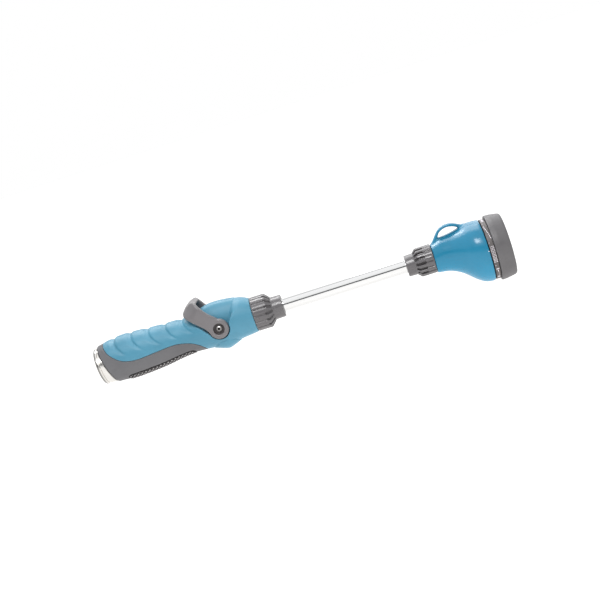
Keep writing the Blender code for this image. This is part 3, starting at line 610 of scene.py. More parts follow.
MARK_PALE = moulded("mark_pale", (0.62, 0.59, 0.63), 0.55, 0.3, 0.01, wear=0.0)
INNER_WHITE = moulded("inner_white", (0.62, 0.63, 0.64), 0.45)
SEAL_BLACK = moulded("seal_black", (0.022, 0.022, 0.023), 0.55, 0.3, wear=0.05)
WASHER_RUBBER = moulded("washer_rubber", (0.030, 0.030, 0.032), 0.60, 0.3, wear=0.05)
PAD_RUBBER = pad_rubber("pad_rubber", (0.016, 0.015, 0.016), (0.360, 0.350, 0.355))
TUBE_METAL = polished("tube_metal", (0.93, 0.935, 0.94), 0.10, (10.0, 700.0, 700.0), 0.001)
COLLAR_METAL = polished("collar_metal", (0.90, 0.885, 0.86), 0.24, (1400.0, 60.0, 60.0), 0.002, COLLAR_SHADE)
STEEL = polished("steel", (0.50, 0.49, 0.48), 0.45, (500.0, 500.0, 500.0), 0.003, STEEL_SHADE)


# ---------------------------------------------------------------- handle


def handle(x, y, z, half_limit=None, plain=False):
    """Distance to the handle's outside. A half width limit gives the dome between the lever's arms."""
    top, bottom, half = between(HANDLE_SECTIONS, x)
    if half_limit:
        half, top = np.minimum(half, half_limit), top + DOME_RISE
    middle, height = 0.5 * (top + bottom), 0.5 * (top - bottom)
    a, b = y / half, (z - middle) / height
    k = np.sqrt(a * a + b * b) + 1e-6
    distance = (k - 1) * k / np.sqrt((a / half) ** 2 + (b / height) ** 2 + 1e-9)
    if plain or half_limit:
        return distance
    from_bottom = np.arctan2(np.abs(a), -b)
    return distance + groove_depth(x, z) - bump_height(x, from_bottom)


def groove_depth(x, z):
    """How far the finger grooves sink the grip. They sweep forward as they fall, and fade out."""
    shift = GROOVE_SWEEP * (np.maximum(0.0, GROOVE_TOP_Z - z) / GROOVE_FALL) ** 2
    fade = ease((z - GROOVE_FOOT_Z) / GROOVE_FADE)
    depth = 0.0
    for i in range(GROOVES):
        away = x - (FIRST_GROOVE_X + GROOVE_PITCH * i) - shift
        width = np.where(away < 0, *GROOVE_WIDTHS)
        depth = depth + GROOVE_DEPTH * fade * np.exp(-0.5 * (away / width) ** 2)
    return depth


def bump_height(x, from_bottom):
    """The finger rest under the valve: a low cone with a clear foot."""
    q = np.sqrt(((x - BUMP_X) / BUMP_LENGTH) ** 2 + (from_bottom / BUMP_ANGLE) ** 2 + 0.012)
    cone = smooth_max((BUMP_HEIGHT - BUMP_FOOT) * (1.08 - q), 0.0, 0.2)
    return cone + BUMP_FOOT * ease((1.13 - q) / 0.09)


def recess_outline():
    """The side recess in which the lever's arm and eye lie and swing, about the pivot."""

    def side(angle, offset, sign):
        along = (math.cos(angle), math.sin(angle))
        across = (sign * along[1], -sign * along[0])
        return tuple(offset * a + RECESS_REACH * b for a, b in zip(across, along))

    start = RECESS_FRONT_ANGLE - math.asin(RECESS_FRONT / RECESS_R)
    end = LEVER_REST + math.asin(RECESS_REAR / RECESS_R) - math.tau
    return (
        [side(RECESS_FRONT_ANGLE, RECESS_FRONT, 1)]
        + arc((0.0, 0.0), RECESS_R, start, end, 40)
        + [side(LEVER_REST, RECESS_REAR, -1)]
    )


def butt_line(margin):
    """The grip's slanting butt, drawn past the grip below and above."""
    return [(BUTT_TOP[0] + BUTT_SLOPE * (BUTT_TOP[1] - z) + margin, z) for z in (-30.0, 26.0)]


RECESS = recess_outline()
GREY_CURVE = curve(GREY_LINE, 4)
BASE_ZONE = np.concatenate([GREY_CURVE, np.array(butt_line(0.3))])
SHELL_ZONE = np.concatenate([GREY_CURVE, np.array(butt_line(-20.0))])


def shell_field(x, y, z):
    """One blue half shell, on the left: the outside, the lever's recess, the cavity and the parting plane."""
    outer = handle(x, y, z)
    dome = handle(x, y, z, DOME_HALF_WIDTH)
    recess = outline(RECESS, x - PIVOT_X, z)
    stem = np.maximum(np.sqrt((x - PIVOT_X) ** 2 + z * z) - STEM_HOLE_R, 5.0 - y)
    # Above the pivot, near the recess's outline, both of its roundings grow: the dome rolls over into it.
    grown = ease((z - 5.0) / 10.0) * ease((4.0 + recess) / 3.0)
    corner_r, brim_r = (low + more * grown for low, more in (RECESS_CORNER_R, RECESS_BRIM_R))
    body = smooth_max(outer, smooth_min(-recess, dome, corner_r), brim_r)
    cavity = np.maximum(handle(x, y, z, plain=True) + WALL, dome + DOME_WALL)
    body = np.maximum(body, -cavity)
    body = np.maximum(body, -stem)
    body = smooth_max(body, x - HANDLE_FRONT, 0.6)
    body = smooth_max(body, SEAM - outline(SHELL_ZONE, x, z), SEAM_R)
    return smooth_max(body, PARTING - y, 0.35)


def base_field(x, y, z):
    """The grey underside, with the pad's pocket let into it."""
    outer = handle(x, y, z)
    body = np.maximum(outer, -(handle(x, y, z, plain=True) + WALL))
    body = smooth_max(body, outline(BASE_ZONE, x, z) + SEAM, SEAM_R)
    pocket = np.maximum(pad_edge(x, y, z) - SEAM, -(handle(x, y, z, plain=True) + PAD_DEPTH + 0.3))
    return smooth_max(body, -pocket, 0.4)


def under_grip(x, y, z):
    """The angle from the grip's lowest line, and the grip's mean radius there."""
    top, bottom, half = between(HANDLE_SECTIONS, x)
    angle = np.arctan2(y / half, (0.5 * (top + bottom) - z) / (0.5 * (top - bottom)))
    return angle, 0.5 * (half + 0.5 * (top - bottom))


def pad_edge(x, y, z):
    """Distance across the surface to the edge of the pad, which has rounded corners."""
    angle, reach = under_grip(x, np.abs(y), z)
    a = np.abs(x - 0.5 * sum(PAD_X)) - 0.5 * (PAD_X[1] - PAD_X[0]) + PAD_CORNER
    b = (angle - PAD_ANGLE) * reach + PAD_CORNER
    outside = np.sqrt(np.maximum(a, 0.0) ** 2 + np.maximum(b, 0.0) ** 2)
    return outside + np.minimum(np.maximum(a, b), 0.0) - PAD_CORNER


def pips(x, y, z):
    """0 on the pad's ground to 1 on a pip's top. The pips stand in a staggered grid."""
    angle, reach = under_grip(x, y, z)
    s, t = angle * reach / PIP_PITCH[1], x / PIP_PITCH[0]
    wave = 0.5 + 0.25 * (np.cos(math.tau * (s + t)) + np.cos(math.tau * (s - t)))
    return ease((wave - 0.60) / 0.2) * ease((-0.5 - pad_edge(x, y, z)) / 0.5)


def pad_field(x, y, z):
    surface = handle(x, y, z, plain=True)
    raised = surface - PAD_PROUD - PIP_HEIGHT * pips(x, y, z)
    body = smooth_max(raised, pad_edge(x, y, z) + SEAM, 0.8)
    return np.maximum(body, -(surface + PAD_DEPTH))


def make_handle():
    points, quads, normals = skin(shell_field, (-191.5, -0.6, -25.0), (-44.0, 22.0, 25.0), 0.55)
    left = mesh_of("grip_skin_left", points, quads, normals)
    finished(left, GRIP_BLUE, "handle", "grip_blue", "handle_shell_left")
    flip = np.array([1.0, -1.0, 1.0])
    right = mesh_of("grip_skin_right", points * flip, quads[:, ::-1], normals * flip)
    finished(right, GRIP_BLUE, "handle", "grip_blue", "handle_shell_right")
    points, quads, normals = skin(base_field, (-198.5, -20.4, -25.0), (-92.5, 20.4, 18.5), 0.6)
    base = mesh_of("grip_underside", points, quads, normals)
    finished(base, GRIP_GREY, "handle", "grip_grey", "grip_base")
    points, quads, normals = skin(pad_field, (-176.0, -16.0, -25.0), (-106.0, 16.0, -8.0), 0.4)
    pad = mesh_of("grip_pips", points, quads, normals)
    write_mark(pad, "pip", pips(*points.T))
    finished(pad, PAD_RUBBER, "handle", "pad_rubber", "grip_pad")


# ---------------------------------------------------------------- inlet


def butt_x(radius, angles):
    """How far in front of the collar's rim the slanting butt lies, along a line at a radius from its axis."""
    c, s = math.cos(INLET_TILT), math.sin(INLET_TILT)
    z = radius * np.sin(angles)
    across = BUTT_TOP[0] - INLET_X + BUTT_SLOPE * (BUTT_TOP[1] - INLET_Z - z * c) - z * s
    return across / (c - BUTT_SLOPE * s) - 0.05


def flared(x, drop=0.0):
    """Points on the collar's outside, which widens a little towards the grip."""
    return np.stack([x, COLLAR_R + (x - RIM_X) / COLLAR_FLARE - drop], 1)


def collar_rows(angles):
    """The collar's rings of (x, r) points, from its rim over the outside, and back through the thread."""

    def ring(x, r):
        return np.stack([0 * angles + x, 0 * angles + r], 1)

    rim = [(1.0, 12.5, 0.3), (0.0, 13.5, 0.4), (0.0, 16.2, 2.2), (1.3, 17.7, 1.5), (4.0, COLLAR_R, 3.0)]
    rows = [ring(x, r) for x, r in rounded(rim, 0.5, 8) if x < RIM_X and r > 12.6]
    butt = butt_x(COLLAR_BUTT_R, angles)
    rows += [flared(RIM_X + (butt - 0.5 - RIM_X) * f) for f in (0.25, 0.5, 0.75, 0.94)]
    for back, drop in ((0.5, 0.0), (0.22, 0.08), (0.06, 0.24), (0.0, 0.5)):
        rows.append(flared(butt_x(COLLAR_BUTT_R - drop, angles) - back, drop))
    rows.append(ring(butt_x(15.1, angles), 15.1))
    for x, r in ((19.0, 15.0), (19.0, 10.0), (16.2, 10.0), (16.2, 13.2), (13.0, 13.3), (12.4, 12.9)):
        rows.append(ring(x, r))
    for x in np.arange(THREAD_X[1], THREAD_X[0], -0.16):
        phase = (x / THREAD_PITCH - angles / math.tau) % 1.0
        crest = ease((0.5 - np.abs(phase - 0.5)) * 3.2 - 0.3)
        fade = ease((x - THREAD_X[0]) / 1.6) * ease((12.2 - x) / 1.0)
        rows.append(ring(x, THREAD_ROOT_R - THREAD_DEPTH * crest * fade))
    return rows


def make_inlet():
    """The polished collar, its front cut to the grip's slanting butt, with the washer and strainer in it."""
    steps = 180
    angles = math.tau * np.arange(steps) / steps
    grid = np.stack(collar_rows(angles))
    x, r = grid[..., 0], grid[..., 1]
    points = ringed(x, r, angles)
    quads = outward(points, wrapped(len(grid), steps))
    at = (INLET_X, 0.0, INLET_Z)
    collar = mesh_of("inlet_ring", placed(points, at, INLET_TILT), quads, sharp=35)
    # Painted shade on the collar's rounded rim and along its back edge against the grip's butt, darkening
    # their outlines.
    painted_rim_shade = ease((2.2 - np.abs(x - 0.9)) / 1.2) * ease((r - 16.4) / 0.8) * 0.85
    painted_back_edge_shade = ease((x - butt_x(COLLAR_BUTT_R, angles) + 0.9) / 0.5) * (r > 17.0) * 0.7
    write_painted_shade(collar, np.maximum(painted_rim_shade, painted_back_edge_shade).ravel())
    finished(collar, COLLAR_METAL, "handle", "collar_metal", "inlet_collar")
    washer = rounded([(12.85, 12.75), (15.0, 12.75), (15.0, 9.2), (12.85, 9.2)], 0.45)
    washer = lathe("hose_seal", washer, 96, at, INLET_TILT)
    finished(washer, WASHER_RUBBER, "handle", "seal_rubber", "hose_washer")
    make_screen(at)


def make_screen(at):
    """A domed strainer of crossed wires in a thin rim."""
    pitch = 1.3

    def field(x, y, z):
        r = np.sqrt(y * y + z * z)
        crown = x - 15.65 + 1.6 * np.clip(1 - (r / 9.0) ** 2, 0, 1)
        off_wire = [np.abs((a / pitch + 0.5) % 1.0 - 0.5) for a in (y, z)]
        wires = np.minimum(*off_wire) * pitch - 0.24
        mesh = smooth_max(np.abs(crown) - 0.22, smooth_min(wires, 8.6 - r, 0.3), 0.25)
        return np.maximum(mesh, r - 12.6)

    points, quads, normals = skin(field, (13.4, -13.0, -13.0), (16.2, 13.0, 13.0), 0.2, 2)
    made = mesh_of("strainer", placed(points, at, INLET_TILT), quads, placed(normals, (0, 0, 0), INLET_TILT))
    finished(made, STEEL, "handle", "steel", "inlet_screen")


# ---------------------------------------------------------------- lever


def lever_points():
    """The lever's outline seen from the side, round its eye and its thumb bar."""
    eye = arc((0.0, 0.0), EYE_R, math.radians(50), math.radians(300), 40)
    front, rear = curve(LEVER_FRONT, 5), curve(LEVER_REAR, 5)
    return np.concatenate([front, np.array(eye), rear, curve(LEVER_END, 4)])


def bridge_points():
    """The lever's U shape seen along its width, as (y, along) points."""
    inner, outer = LEVER_Y
    inner_end, outer_end = LEVER_ENDS
    inner_r, outer_r = LEVER_CORNERS
    top = math.pi / 2
    outside = arc((-outer + outer_r, outer_end - outer_r), outer_r, math.pi, top, 12)
    outside += arc((outer - outer_r, outer_end - outer_r), outer_r, top, 0.0, 12)
    inside = arc((inner - inner_r, inner_end - inner_r), inner_r, 0.0, top, 10)
    inside += arc((-inner + inner_r, inner_end - inner_r), inner_r, top, math.pi, 10)
    return [(-outer, -15.0)] + outside + [(outer, -15.0), (inner, -15.0)] + inside + [(-inner, -15.0)]


LEVER_SHAPE = softened(lever_points(), 1)
BRIDGE_SHAPE = bridge_points()


def lever_field(s, y, t):
    """The yoke, from distances along and across its arms, with its bosses and its deep counterbores."""
    arms = smooth_max(outline(LEVER_SHAPE, s, t), outline(BRIDGE_SHAPE, y, s), 2.0)
    side, reach = np.abs(y), np.sqrt(s * s + t * t)
    boss = np.maximum(np.maximum(reach - BOSS_R, BOSS_Y[0] - side), side - BOSS_Y[1])
    body = smooth_min(smooth_min(arms, boss, 0.5), thumb_lip(s, y, t), 1.0)
    bore = smooth_max(reach - COUNTERBORE_R, COUNTERBORE_Y - side, 0.5)
    return smooth_max(body, -bore, 0.7)


def thumb_lip(s, y, t):
    """The thicker front edge of the thumb bar, which bows forward in the middle."""
    bow = LIP_FRONT + LIP_BOW * (1 - (y / 15.0) ** 2)
    lip = smooth_max(np.maximum(np.abs(s - LIP_ALONG) - LIP_HALF, LIP_REAR - t), t - bow, 1.4)
    lip = smooth_max(lip, LIP_UP[0] * s + LIP_UP[1] * t - LIP_TOP, 1.2)
    return smooth_max(lip, np.abs(y) - 17.0 + 0.35 * np.maximum(s - 30.0, 0.0), 1.0)


def lever_to_wand(points):
    """Turns points from the lever's (along, y, across) axes to the wand's."""
    along = np.array([math.cos(LEVER_REST), 0.0, math.sin(LEVER_REST)])
    across = np.array([along[2], 0.0, -along[0]])
    return points[:, :1] * along + points[:, 1:2] * np.array([0.0, 1.0, 0.0]) + points[:, 2:] * across


def make_lever():
    points, quads, normals = skin(lever_field, (-10.4, -21.6, -10.4), (39.0, 21.6, 10.4), 0.42)
    pivot = np.array([PIVOT_X, 0.0, 0.0])
    lever = mesh_of("thumb_lever", lever_to_wand(points) + pivot, quads[:, ::-1], lever_to_wand(normals))
    reach = np.hypot(points[:, 0], points[:, 2])
    # Painted shade inside the counterbores round the screws.
    write_painted_shade(lever, (reach < COUNTERBORE_R + 0.2) * ease((LEVER_Y[1] - 0.6 - np.abs(points[:, 1])) / 0.8))
    finished(lever, LEVER_GREY, "lever", "lever_grey", "control_lever")
    for side, name in ((-1.0, "right"), (1.0, "left")):
        points, quads, normals, deep = screw_mesh()
        turn = np.array([1.0, side, 1.0])
        points = points * turn + np.array([PIVOT_X, side * (COUNTERBORE_Y + 0.05), 0.0])
        quads = quads if side > 0 else quads[:, ::-1]
        screw = mesh_of(f"pivot_screw_{name}", points, quads, normals * turn)
        write_painted_shade(screw, deep)
        finished(screw, STEEL, "lever", "steel", f"lever_screw_{name}")


def screw_field(x, y, z):
    """A pan head with a six-sided socket."""
    r = np.sqrt(x * x + z * z)
    head = smooth_max(r - SCREW_R, np.sqrt(r * r + (y + 2.2) ** 2) - 4.2, 0.5)
    head = smooth_max(np.maximum(head, y - SCREW_TOP), 0.1 - y, 0.1)
    sixth = math.pi / 3
    six = r * np.cos((np.arctan2(z, x) + sixth / 2) % sixth - sixth / 2) - HEX_R
    return smooth_max(head, -np.maximum(six, 0.5 - y), 0.15)


def screw_mesh():
    """A screw's head that stands along Y from its seat, with a painted shade mark for the points down in its
    socket.
    """
    points, quads, normals = skin(screw_field, (-3.7, 0.0, -3.7), (3.7, 2.6, 3.7), 0.12, 2)
    deep = (np.hypot(points[:, 0], points[:, 2]) < 1.25 * HEX_R) * ease((1.7 - points[:, 1]) / 0.5)
    return points, quads, normals, deep


# ---------------------------------------------------------------- tube and nuts


def make_tube():
    bore = TUBE_R - 1.0
    profile = [(TUBE_X[0], TUBE_R), (TUBE_X[1], TUBE_R), (TUBE_X[1], bore), (TUBE_X[0], bore)]
    tube = lathe("water_tube", rounded(profile, 0.2, 3), 128)
    finished(tube, TUBE_METAL, "handle", "tube_metal", "wand_tube")


def inside_span(x, span, fade):
    """1 well inside a span, down to 0 at its ends."""
    return ease((x - span[0]) / fade) * ease((span[1] - x) / fade)


def make_nut(name, outside, bore, pocket, depth, ribbed, turn, replaced):
    """A collar nut with deep pockets between its ribs at the cone and shallow lines along the rest."""
    columns = RIBS * 26
    angles = math.tau * np.arange(columns) / columns + turn
    phase = (angles * RIBS / math.tau + 0.5) % 1.0 - 0.5
    middle, half = 0.5 * sum(pocket), 0.5 * (pocket[1] - pocket[0])
    inside = np.array(sorted(bore))
    rows, painted_nut_shade = [], []
    for x, r in outside:
        away = np.abs(phase) * (math.tau / RIBS * r)
        line = LINE_DEPTH * ease((0.8 - away) / 0.45) * inside_span(x, ribbed, 0.8)
        past_end = max(abs(x - middle) - half + POCKET_R, 0.0)
        deepest = min(depth, r - float(np.interp(x, *inside.T)) - NUT_WALL)
        deep = deepest * ease((POCKET_R - np.hypot(away, past_end)) / 0.55)
        crown = RIB_CROWN * (1 - 2 * np.abs(phase)) ** 2 * inside_span(x, ribbed, 2.0)
        rows.append(np.stack([0 * phase + x, r - crown - np.maximum(line, deep)], 1))
        # Painted shade in the lines and pockets between the ribs, and full painted shade down the bore.
        painted_nut_shade.append(np.maximum(ease((line - 0.2) / 0.4) * 0.2, ease(deep / 1.2) * 0.34 * depth))
    for x, r in bore:
        rows.append(np.stack([0 * phase + x, 0 * phase + r], 1))
        painted_nut_shade.append(0 * phase + 1.0)
    grid = np.stack(rows)
    points = ringed(grid[..., 0], grid[..., 1], angles).reshape(-1, 3)
    nut = mesh_of(name, points, outward(points, wrapped(len(rows), columns)), sharp=38)
    write_painted_shade(nut, np.stack(painted_nut_shade).ravel())
    finished(nut, NUT_GREY, "handle", "nut_grey", replaced)


def refine(profile, step):
    """Points along an open profile, no further apart than a step."""
    made = []
    for a, b in zip(profile, profile[1:]):
        a, b = np.array(a, float), np.array(b, float)
        count = max(1, int(math.ceil(np.linalg.norm(b - a) / step)))
        made += [a + (b - a) * i / count for i in range(count)]
    return np.array(made + [np.array(profile[-1], float)])


def open_rounded(profile, radius, steps=4):
    """An open profile with its inner corners rounded."""
    closed = [(*profile[0], 0.0)] + [(*p[:2], p[2] if len(p) > 2 else radius) for p in profile[1:-1]]
    return rounded(closed + [(*profile[-1], 0.0)], radius, steps)


def make_nuts():
    rear = [(-44.5, 15.7), (-43.9, 16.3), (-30.6, 16.3, 1.6), (-25.6, 11.0, 1.0), (-25.0, 10.85, 0.5)]
    rear += [(-16.2, 10.6, 0.4), (-15.8, 10.2)]
    rear = refine(open_rounded(rear, 0.5), 0.35)
    bore = [(-15.8, 6.9), (-20.5, 6.9), (-20.5, 8.2), (-25.0, 9.3), (-31.4, 12.9), (-44.5, 12.9)]
    make_nut("rear_nut", rear, bore, (-33.2, -25.4), 1.5, (-44.5, -27.5), 0.0, "handle_collar_nut")
    front = [(105.5, 9.8), (105.9, 10.1), (113.6, 10.35, 0.8), (117.2, 13.8, 1.2)]
    front += [(131.3, 13.8), (131.7, 13.4)]
    front = refine(open_rounded(front, 0.5), 0.35)
    bore = [(131.7, 11.2), (118.2, 11.2), (114.6, 9.0), (109.5, 8.2), (109.5, 6.9), (105.5, 6.9)]
    turn = math.radians(-2.0)
    make_nut("front_nut", front, bore, (114.0, 124.2), 2.5, (114.5, 131.7), turn, "head_collar_nut")


# ---------------------------------------------------------------- head


LOOP_CURVE = curve(LOOP_OUTLINE, 5)
HOLE_CURVE = curve(LOOP_HOLE, 5)


def head_field(x, y, z):
    """The blue head with its hanging loop blended on, open at the front."""
    middle, radius = between(HEAD_SECTIONS, x)
    step = 0.05
    further = between(HEAD_SECTIONS, x + step)
    slope = (further[1] - radius) / step
    shell = (np.sqrt(y * y + (z - middle) ** 2) - radius) / np.sqrt(1 + slope * slope)
    loop = smooth_max(outline(LOOP_CURVE, x, z), -outline(HOLE_CURVE, x, z), 0.5)
    loop = smooth_max(loop, np.abs(y) - LOOP_HALF_WIDTH, 2.6)
    body = smooth_min(shell, loop, 2.2)
    body = smooth_max(body, x - HEAD_SECTIONS[-1][0], 0.9)
    body = smooth_max(body, HEAD_SECTIONS[0][0] - x, 0.9)
    cavity = np.maximum(shell + HEAD_WALL, 134.6 - x)
    rear_hole = np.maximum(np.sqrt(y * y + z * z) - 10.9, x - 137.0)
    return np.maximum(np.maximum(body, -cavity), -rear_hole)


def make_head():
    points, quads, normals = skin(head_field, (131.0, -31.0, -39.0), (182.0, 31.0, 28.4), 0.5)
    head = mesh_of("head_skin", points, quads, normals)
    finished(head, HEAD_BLUE, "handle", "head_blue", "head_shell")
    arrow = [(-2.1, -0.55), (-0.55, 0.0), (-2.1, 0.55)]
    mark = on_cylinder([arrow], 29.42, math.pi - math.radians(5.5), 0.12)
    pointer = mesh_of("pattern_pointer", *mark)
    finished(pointer, MARK_PALE, "handle", "inner_white")


def on_cylinder(shapes, radius, angle, height):
    """Thin raised marks, from outlines of (x, arc length) about the dial's axis, as points and triangles."""
    points, faces = [], []
    for shape in shapes:
        start, count = len(points), len(shape)
        for r in (radius - 0.25, radius + height):
            for x, s in shape:
                a = angle + s / radius
                points.append((DIAL_X + x, r * math.cos(a), DIAL_Z + r * math.sin(a)))
        for i in range(count):
            j = (i + 1) % count
            faces.append((start + i, start + j, start + count + j))
            faces.append((start + i, start + count + j, start + count + i))
        for i in range(1, count - 1):
            faces.append((start + count, start + count + i, start + count + i + 1))
            faces.append((start, start + i + 1, start + i))
    return np.array(points), np.array(faces)


def bar(x0, x1, s0, s1):
    """A small rectangle on the ring, split along the arc so that it follows it."""
    steps = max(1, int(abs(s1 - s0) / 1.2))
    near = [(x0, s0 + (s1 - s0) * i / steps) for i in range(steps + 1)]
    far = [(x1, s1 + (s0 - s1) * i / steps) for i in range(steps + 1)]
    return near + far


def dot(x, s, radius, sides=12):
    return arc((x, s), radius, 0.0, math.tau, sides)[:-1]


def icon(kind):
    """A plain generic sign for each spray pattern, drawn with bars and dots."""
    if kind == 0:
        return [dot(0.9 + 1.3 * i, -7.5 + 1.5 * j, 0.46) for i in range(3) for j in range(11)]
    if kind == 1:
        return [bar(0.7, 3.7, -7.6, -6.6), bar(1.7, 2.7, -5.6, 3.6), dot(2.2, 5.6, 1.3)]
    if kind == 2:
        return [bar(0.6, 3.9, -7.4 + 1.75 * i, -6.5 + 1.75 * i) for i in range(9)]
    if kind == 3:
        return [dot(1.2 + (i % 2) * 2.0, -7.2 + 1.6 * i, 0.8) for i in range(10)]
    if kind == 4:
        return [bar(0.6, 1.3, -7.4, 7.4), bar(1.9, 2.6, -5.4, 5.4), bar(3.2, 3.9, -3.4, 3.4)]
    if kind == 5:
        links = [bar(1.8, 2.6, s, s + 1.2) for s in (-3.2, 2.0)]
        return [dot(2.2, s, 1.6) for s in (-5.2, 0.0, 5.2)] + links
    if kind == 6:
        blocks = [bar(1.3, 3.2, s, s + 2.2) for s in (-5.2, -2.0, 1.2, 4.0)]
        return [bar(0.6, 3.9, s, s + 0.9) for s in (-7.2, 6.3)] + blocks
    return [bar(0.6 + 0.42 * i, 1.4 + 0.42 * i, -7.2 + 1.9 * i, -5.8 + 1.9 * i) for i in range(8)]


# ---------------------------------------------------------------- dial


def make_dial():
    at = (DIAL_X, 0.0, DIAL_Z)
    band = rounded([(0.0, RING_R), (4.5, RING_R), (4.5, RING_BORE), (0.0, RING_BORE)], 0.35)
    finished(lathe("index_ring", band, 160, at), RING_DARK, "dial", "dial_dark", "dial_ring")
    points, faces, count = [], [], 0
    for i in range(PATTERNS):
        angle = math.pi + math.radians(3.0) + math.tau * i / PATTERNS
        divider = [bar(0.5, 1.6, -0.25, 0.25)]
        for shapes, where in ((icon(i), angle), (divider, angle + math.pi / PATTERNS)):
            p, f = on_cylinder(shapes, RING_R, where, 0.1)
            faces.append(f + count)
            points.append(p)
            count += len(p)
    marks = mesh_of("index_marks", np.concatenate(points), np.concatenate(faces))
    finished(marks, MARK_PALE, "dial", "inner_white")
    bezel = [(4.9, RING_BORE), (4.9, 31.2, 1.0), (10.0, 31.0, 9.0), (18.4, 29.6, 3.0), (19.9, 28.6, 1.5)]
    bezel += [(19.9, 27.5, 0.4), (14.3, 27.5), (14.3, RING_BORE)]
    bezel = lathe("bezel_ring", rounded(bezel, 0.3, 8), 160, at)
    finished(bezel, BEZEL_GREY, "dial", "bezel_grey", "face_bezel")
    make_face(at)


ROW_GAP = 0.8660254


def hexagon_holes(y, z, pitch, rings, radius):
    """Distance to round holes on a triangular grid inside a hexagon, about the origin."""
    best = np.full(np.broadcast(y, z).shape, 1e3)
    for i in range(-rings, rings + 1):
        for j in range(-rings, rings + 1):
            if abs(i + j) > rings:
                continue
            cy, cz = pitch * (i + 0.5 * j), pitch * ROW_GAP * j
            best = np.minimum(best, np.sqrt((y - cy) ** 2 + (z - cz) ** 2) - radius)
    return best


def slot_hole(y, z, half_length, half_width):
    return np.sqrt(np.maximum(np.abs(y) - half_length, 0.0) ** 2 + z * z) - half_width


def sector_shape(kind, y, z):
    """(raised, hole) distances of one spray pattern, about its own middle, with z outwards."""
    r = np.sqrt(y * y + z * z)
    if kind == 0:
        return r - 6.0, hexagon_holes(y, z, 1.95, 2, 0.5)
    if kind == 1:
        return r - 3.4, r - 1.25
    if kind == 2:
        return slot_hole(y, z, 3.8, 2.4), slot_hole(y, z, 3.6, 0.5)
    if kind == 3:
        return hexagon_holes(y, z, 3.3, 1, 1.25), hexagon_holes(y, z, 3.3, 1, 0.42)
    if kind == 4:
        return r - 5.4, np.minimum(np.abs(r - 3.6) - 0.42, r - 0.6)
    if kind == 5:
        return r - 5.6, hexagon_holes(y, z, 3.0, 1, 0.85)
    if kind == 6:
        cross = np.minimum(slot_hole(y, z, 2.6, 0.4), slot_hole(z, y, 2.6, 0.4))
        return np.maximum(np.abs(y), np.abs(z)) - 4.2, cross
    pair = [slot_hole(y, z + shift, 3.0, 0.4) for shift in (-1.1, 1.1)]
    return slot_hole(y, z, 3.6, 3.0), np.minimum(*pair)


def face_field(x, y, z):
    """The spray face: a plate with low walls between its eight patterns, each with its own raised nozzle."""
    r, angle = np.sqrt(y * y + z * z), np.arctan2(z, y)
    wedge = math.tau / PATTERNS
    number = np.round((angle - math.pi / 2) / wedge)
    off = angle - math.pi / 2 - number * wedge
    along, across = r * np.cos(off) - PATTERN_R, r * np.sin(off)
    wall = smooth_max(np.abs(np.abs(off) - wedge / 2) * r - 0.45, np.abs(r - 16.5) - 8.2, 0.6)
    raised, hole = 1e3, 1e3
    for kind in range(PATTERNS):
        here = np.abs((number - kind + 4) % PATTERNS - 4) < 0.5
        up, cut = sector_shape(kind, across, along)
        raised, hole = np.where(here, up, raised), np.where(here, cut, hole)
    hub = r - 6.2
    ring = np.abs(r - 25.2) - 0.7
    top = x - FACE_FRONT
    body = smooth_max(top + 1.2, 14.7 - x, 0.2)
    for shape, lift, blend in ((wall, 0.5, 0.5), (ring, 0.15, 0.4), (hub, 0.1, 0.5), (raised, 0.3, 0.7)):
        body = smooth_min(body, smooth_max(np.maximum(shape, 15.5 - x), top + lift, blend), 0.5)
    body = smooth_max(body, r - FACE_R, 0.5)
    body = np.maximum(body, -np.maximum(r - 4.0, SCREW_SEAT - x))
    return smooth_max(body, -np.maximum(hole, 15.6 - x), 0.35)


def make_face(at):
    points, quads, normals = skin(face_field, (14.2, -27.8, -27.8), (18.4, 27.8, 27.8), 0.3)
    face = mesh_of("spray_plate", points + np.array(at), quads, normals)
    finished(face, FACE_DARK, "dial", "face_dark", "spray_face")
    points, quads, normals, deep = screw_mesh()
    points, normals = points[:, [1, 2, 0]], normals[:, [1, 2, 0]]
    screw = mesh_of("face_screw", points + np.array(at) + np.array([SCREW_SEAT, 0.0, 0.0]), quads, normals)
    write_painted_shade(screw, deep)
    finished(screw, STEEL, "dial", "steel", "dial_screw")


# ---------------------------------------------------------------- inside pieces


INSIDE = {
    "inner_white": INNER_WHITE,
    "seal_rubber": SEAL_BLACK,
    "steel": STEEL,
    "core_dark": FACE_DARK,
}


def finish_inside():
    """Gives each carried-over inside piece the finish of its slot."""
    slots = {row["node"]: row["material_slot"] for row in frame["record"]["subparts"]}
    for node, made in frame["nodes"].items():
        if not made.hide_render:
            made.data.materials.clear()
            made.data.materials.append(INSIDE[slots[node]])


# ---------------------------------------------------------------- studio


def look_at(obj, position, target, roll=0.0):
    """Aims an object at a target, with its own X as near the wand's as it can be, then rolled."""
    position, back = Vector(position), (Vector(position) - Vector(target)).normalized()
    along = Vector((1, 0, 0))
    right = (along - back * along.dot(back)).normalized()
    up = back.cross(right)
    c, s = math.cos(roll), math.sin(roll)
    matrix = Matrix((right * c - up * s, up * c + right * s, back)).transposed().to_4x4()
    matrix.translation = position
    obj.matrix_world = matrix


def softbox(name, around, along, distance, size, power):
    """An area light that faces the wand. Its angle round the tube is 0 in front and 90 overhead."""
    data = bpy.data.lights.new(name, "AREA")
    data.shape, data.size, data.size_y, data.energy = "RECTANGLE", size[0], size[1], power
    made = bpy.data.objects.new(name, data)
    bpy.context.scene.collection.objects.link(made)
    angle = math.radians(around)
    direction = Vector((along, -math.cos(angle), math.sin(angle))).normalized()
    look_at(made, Vector(ORIGIN) + direction * distance, ORIGIN)
    return made


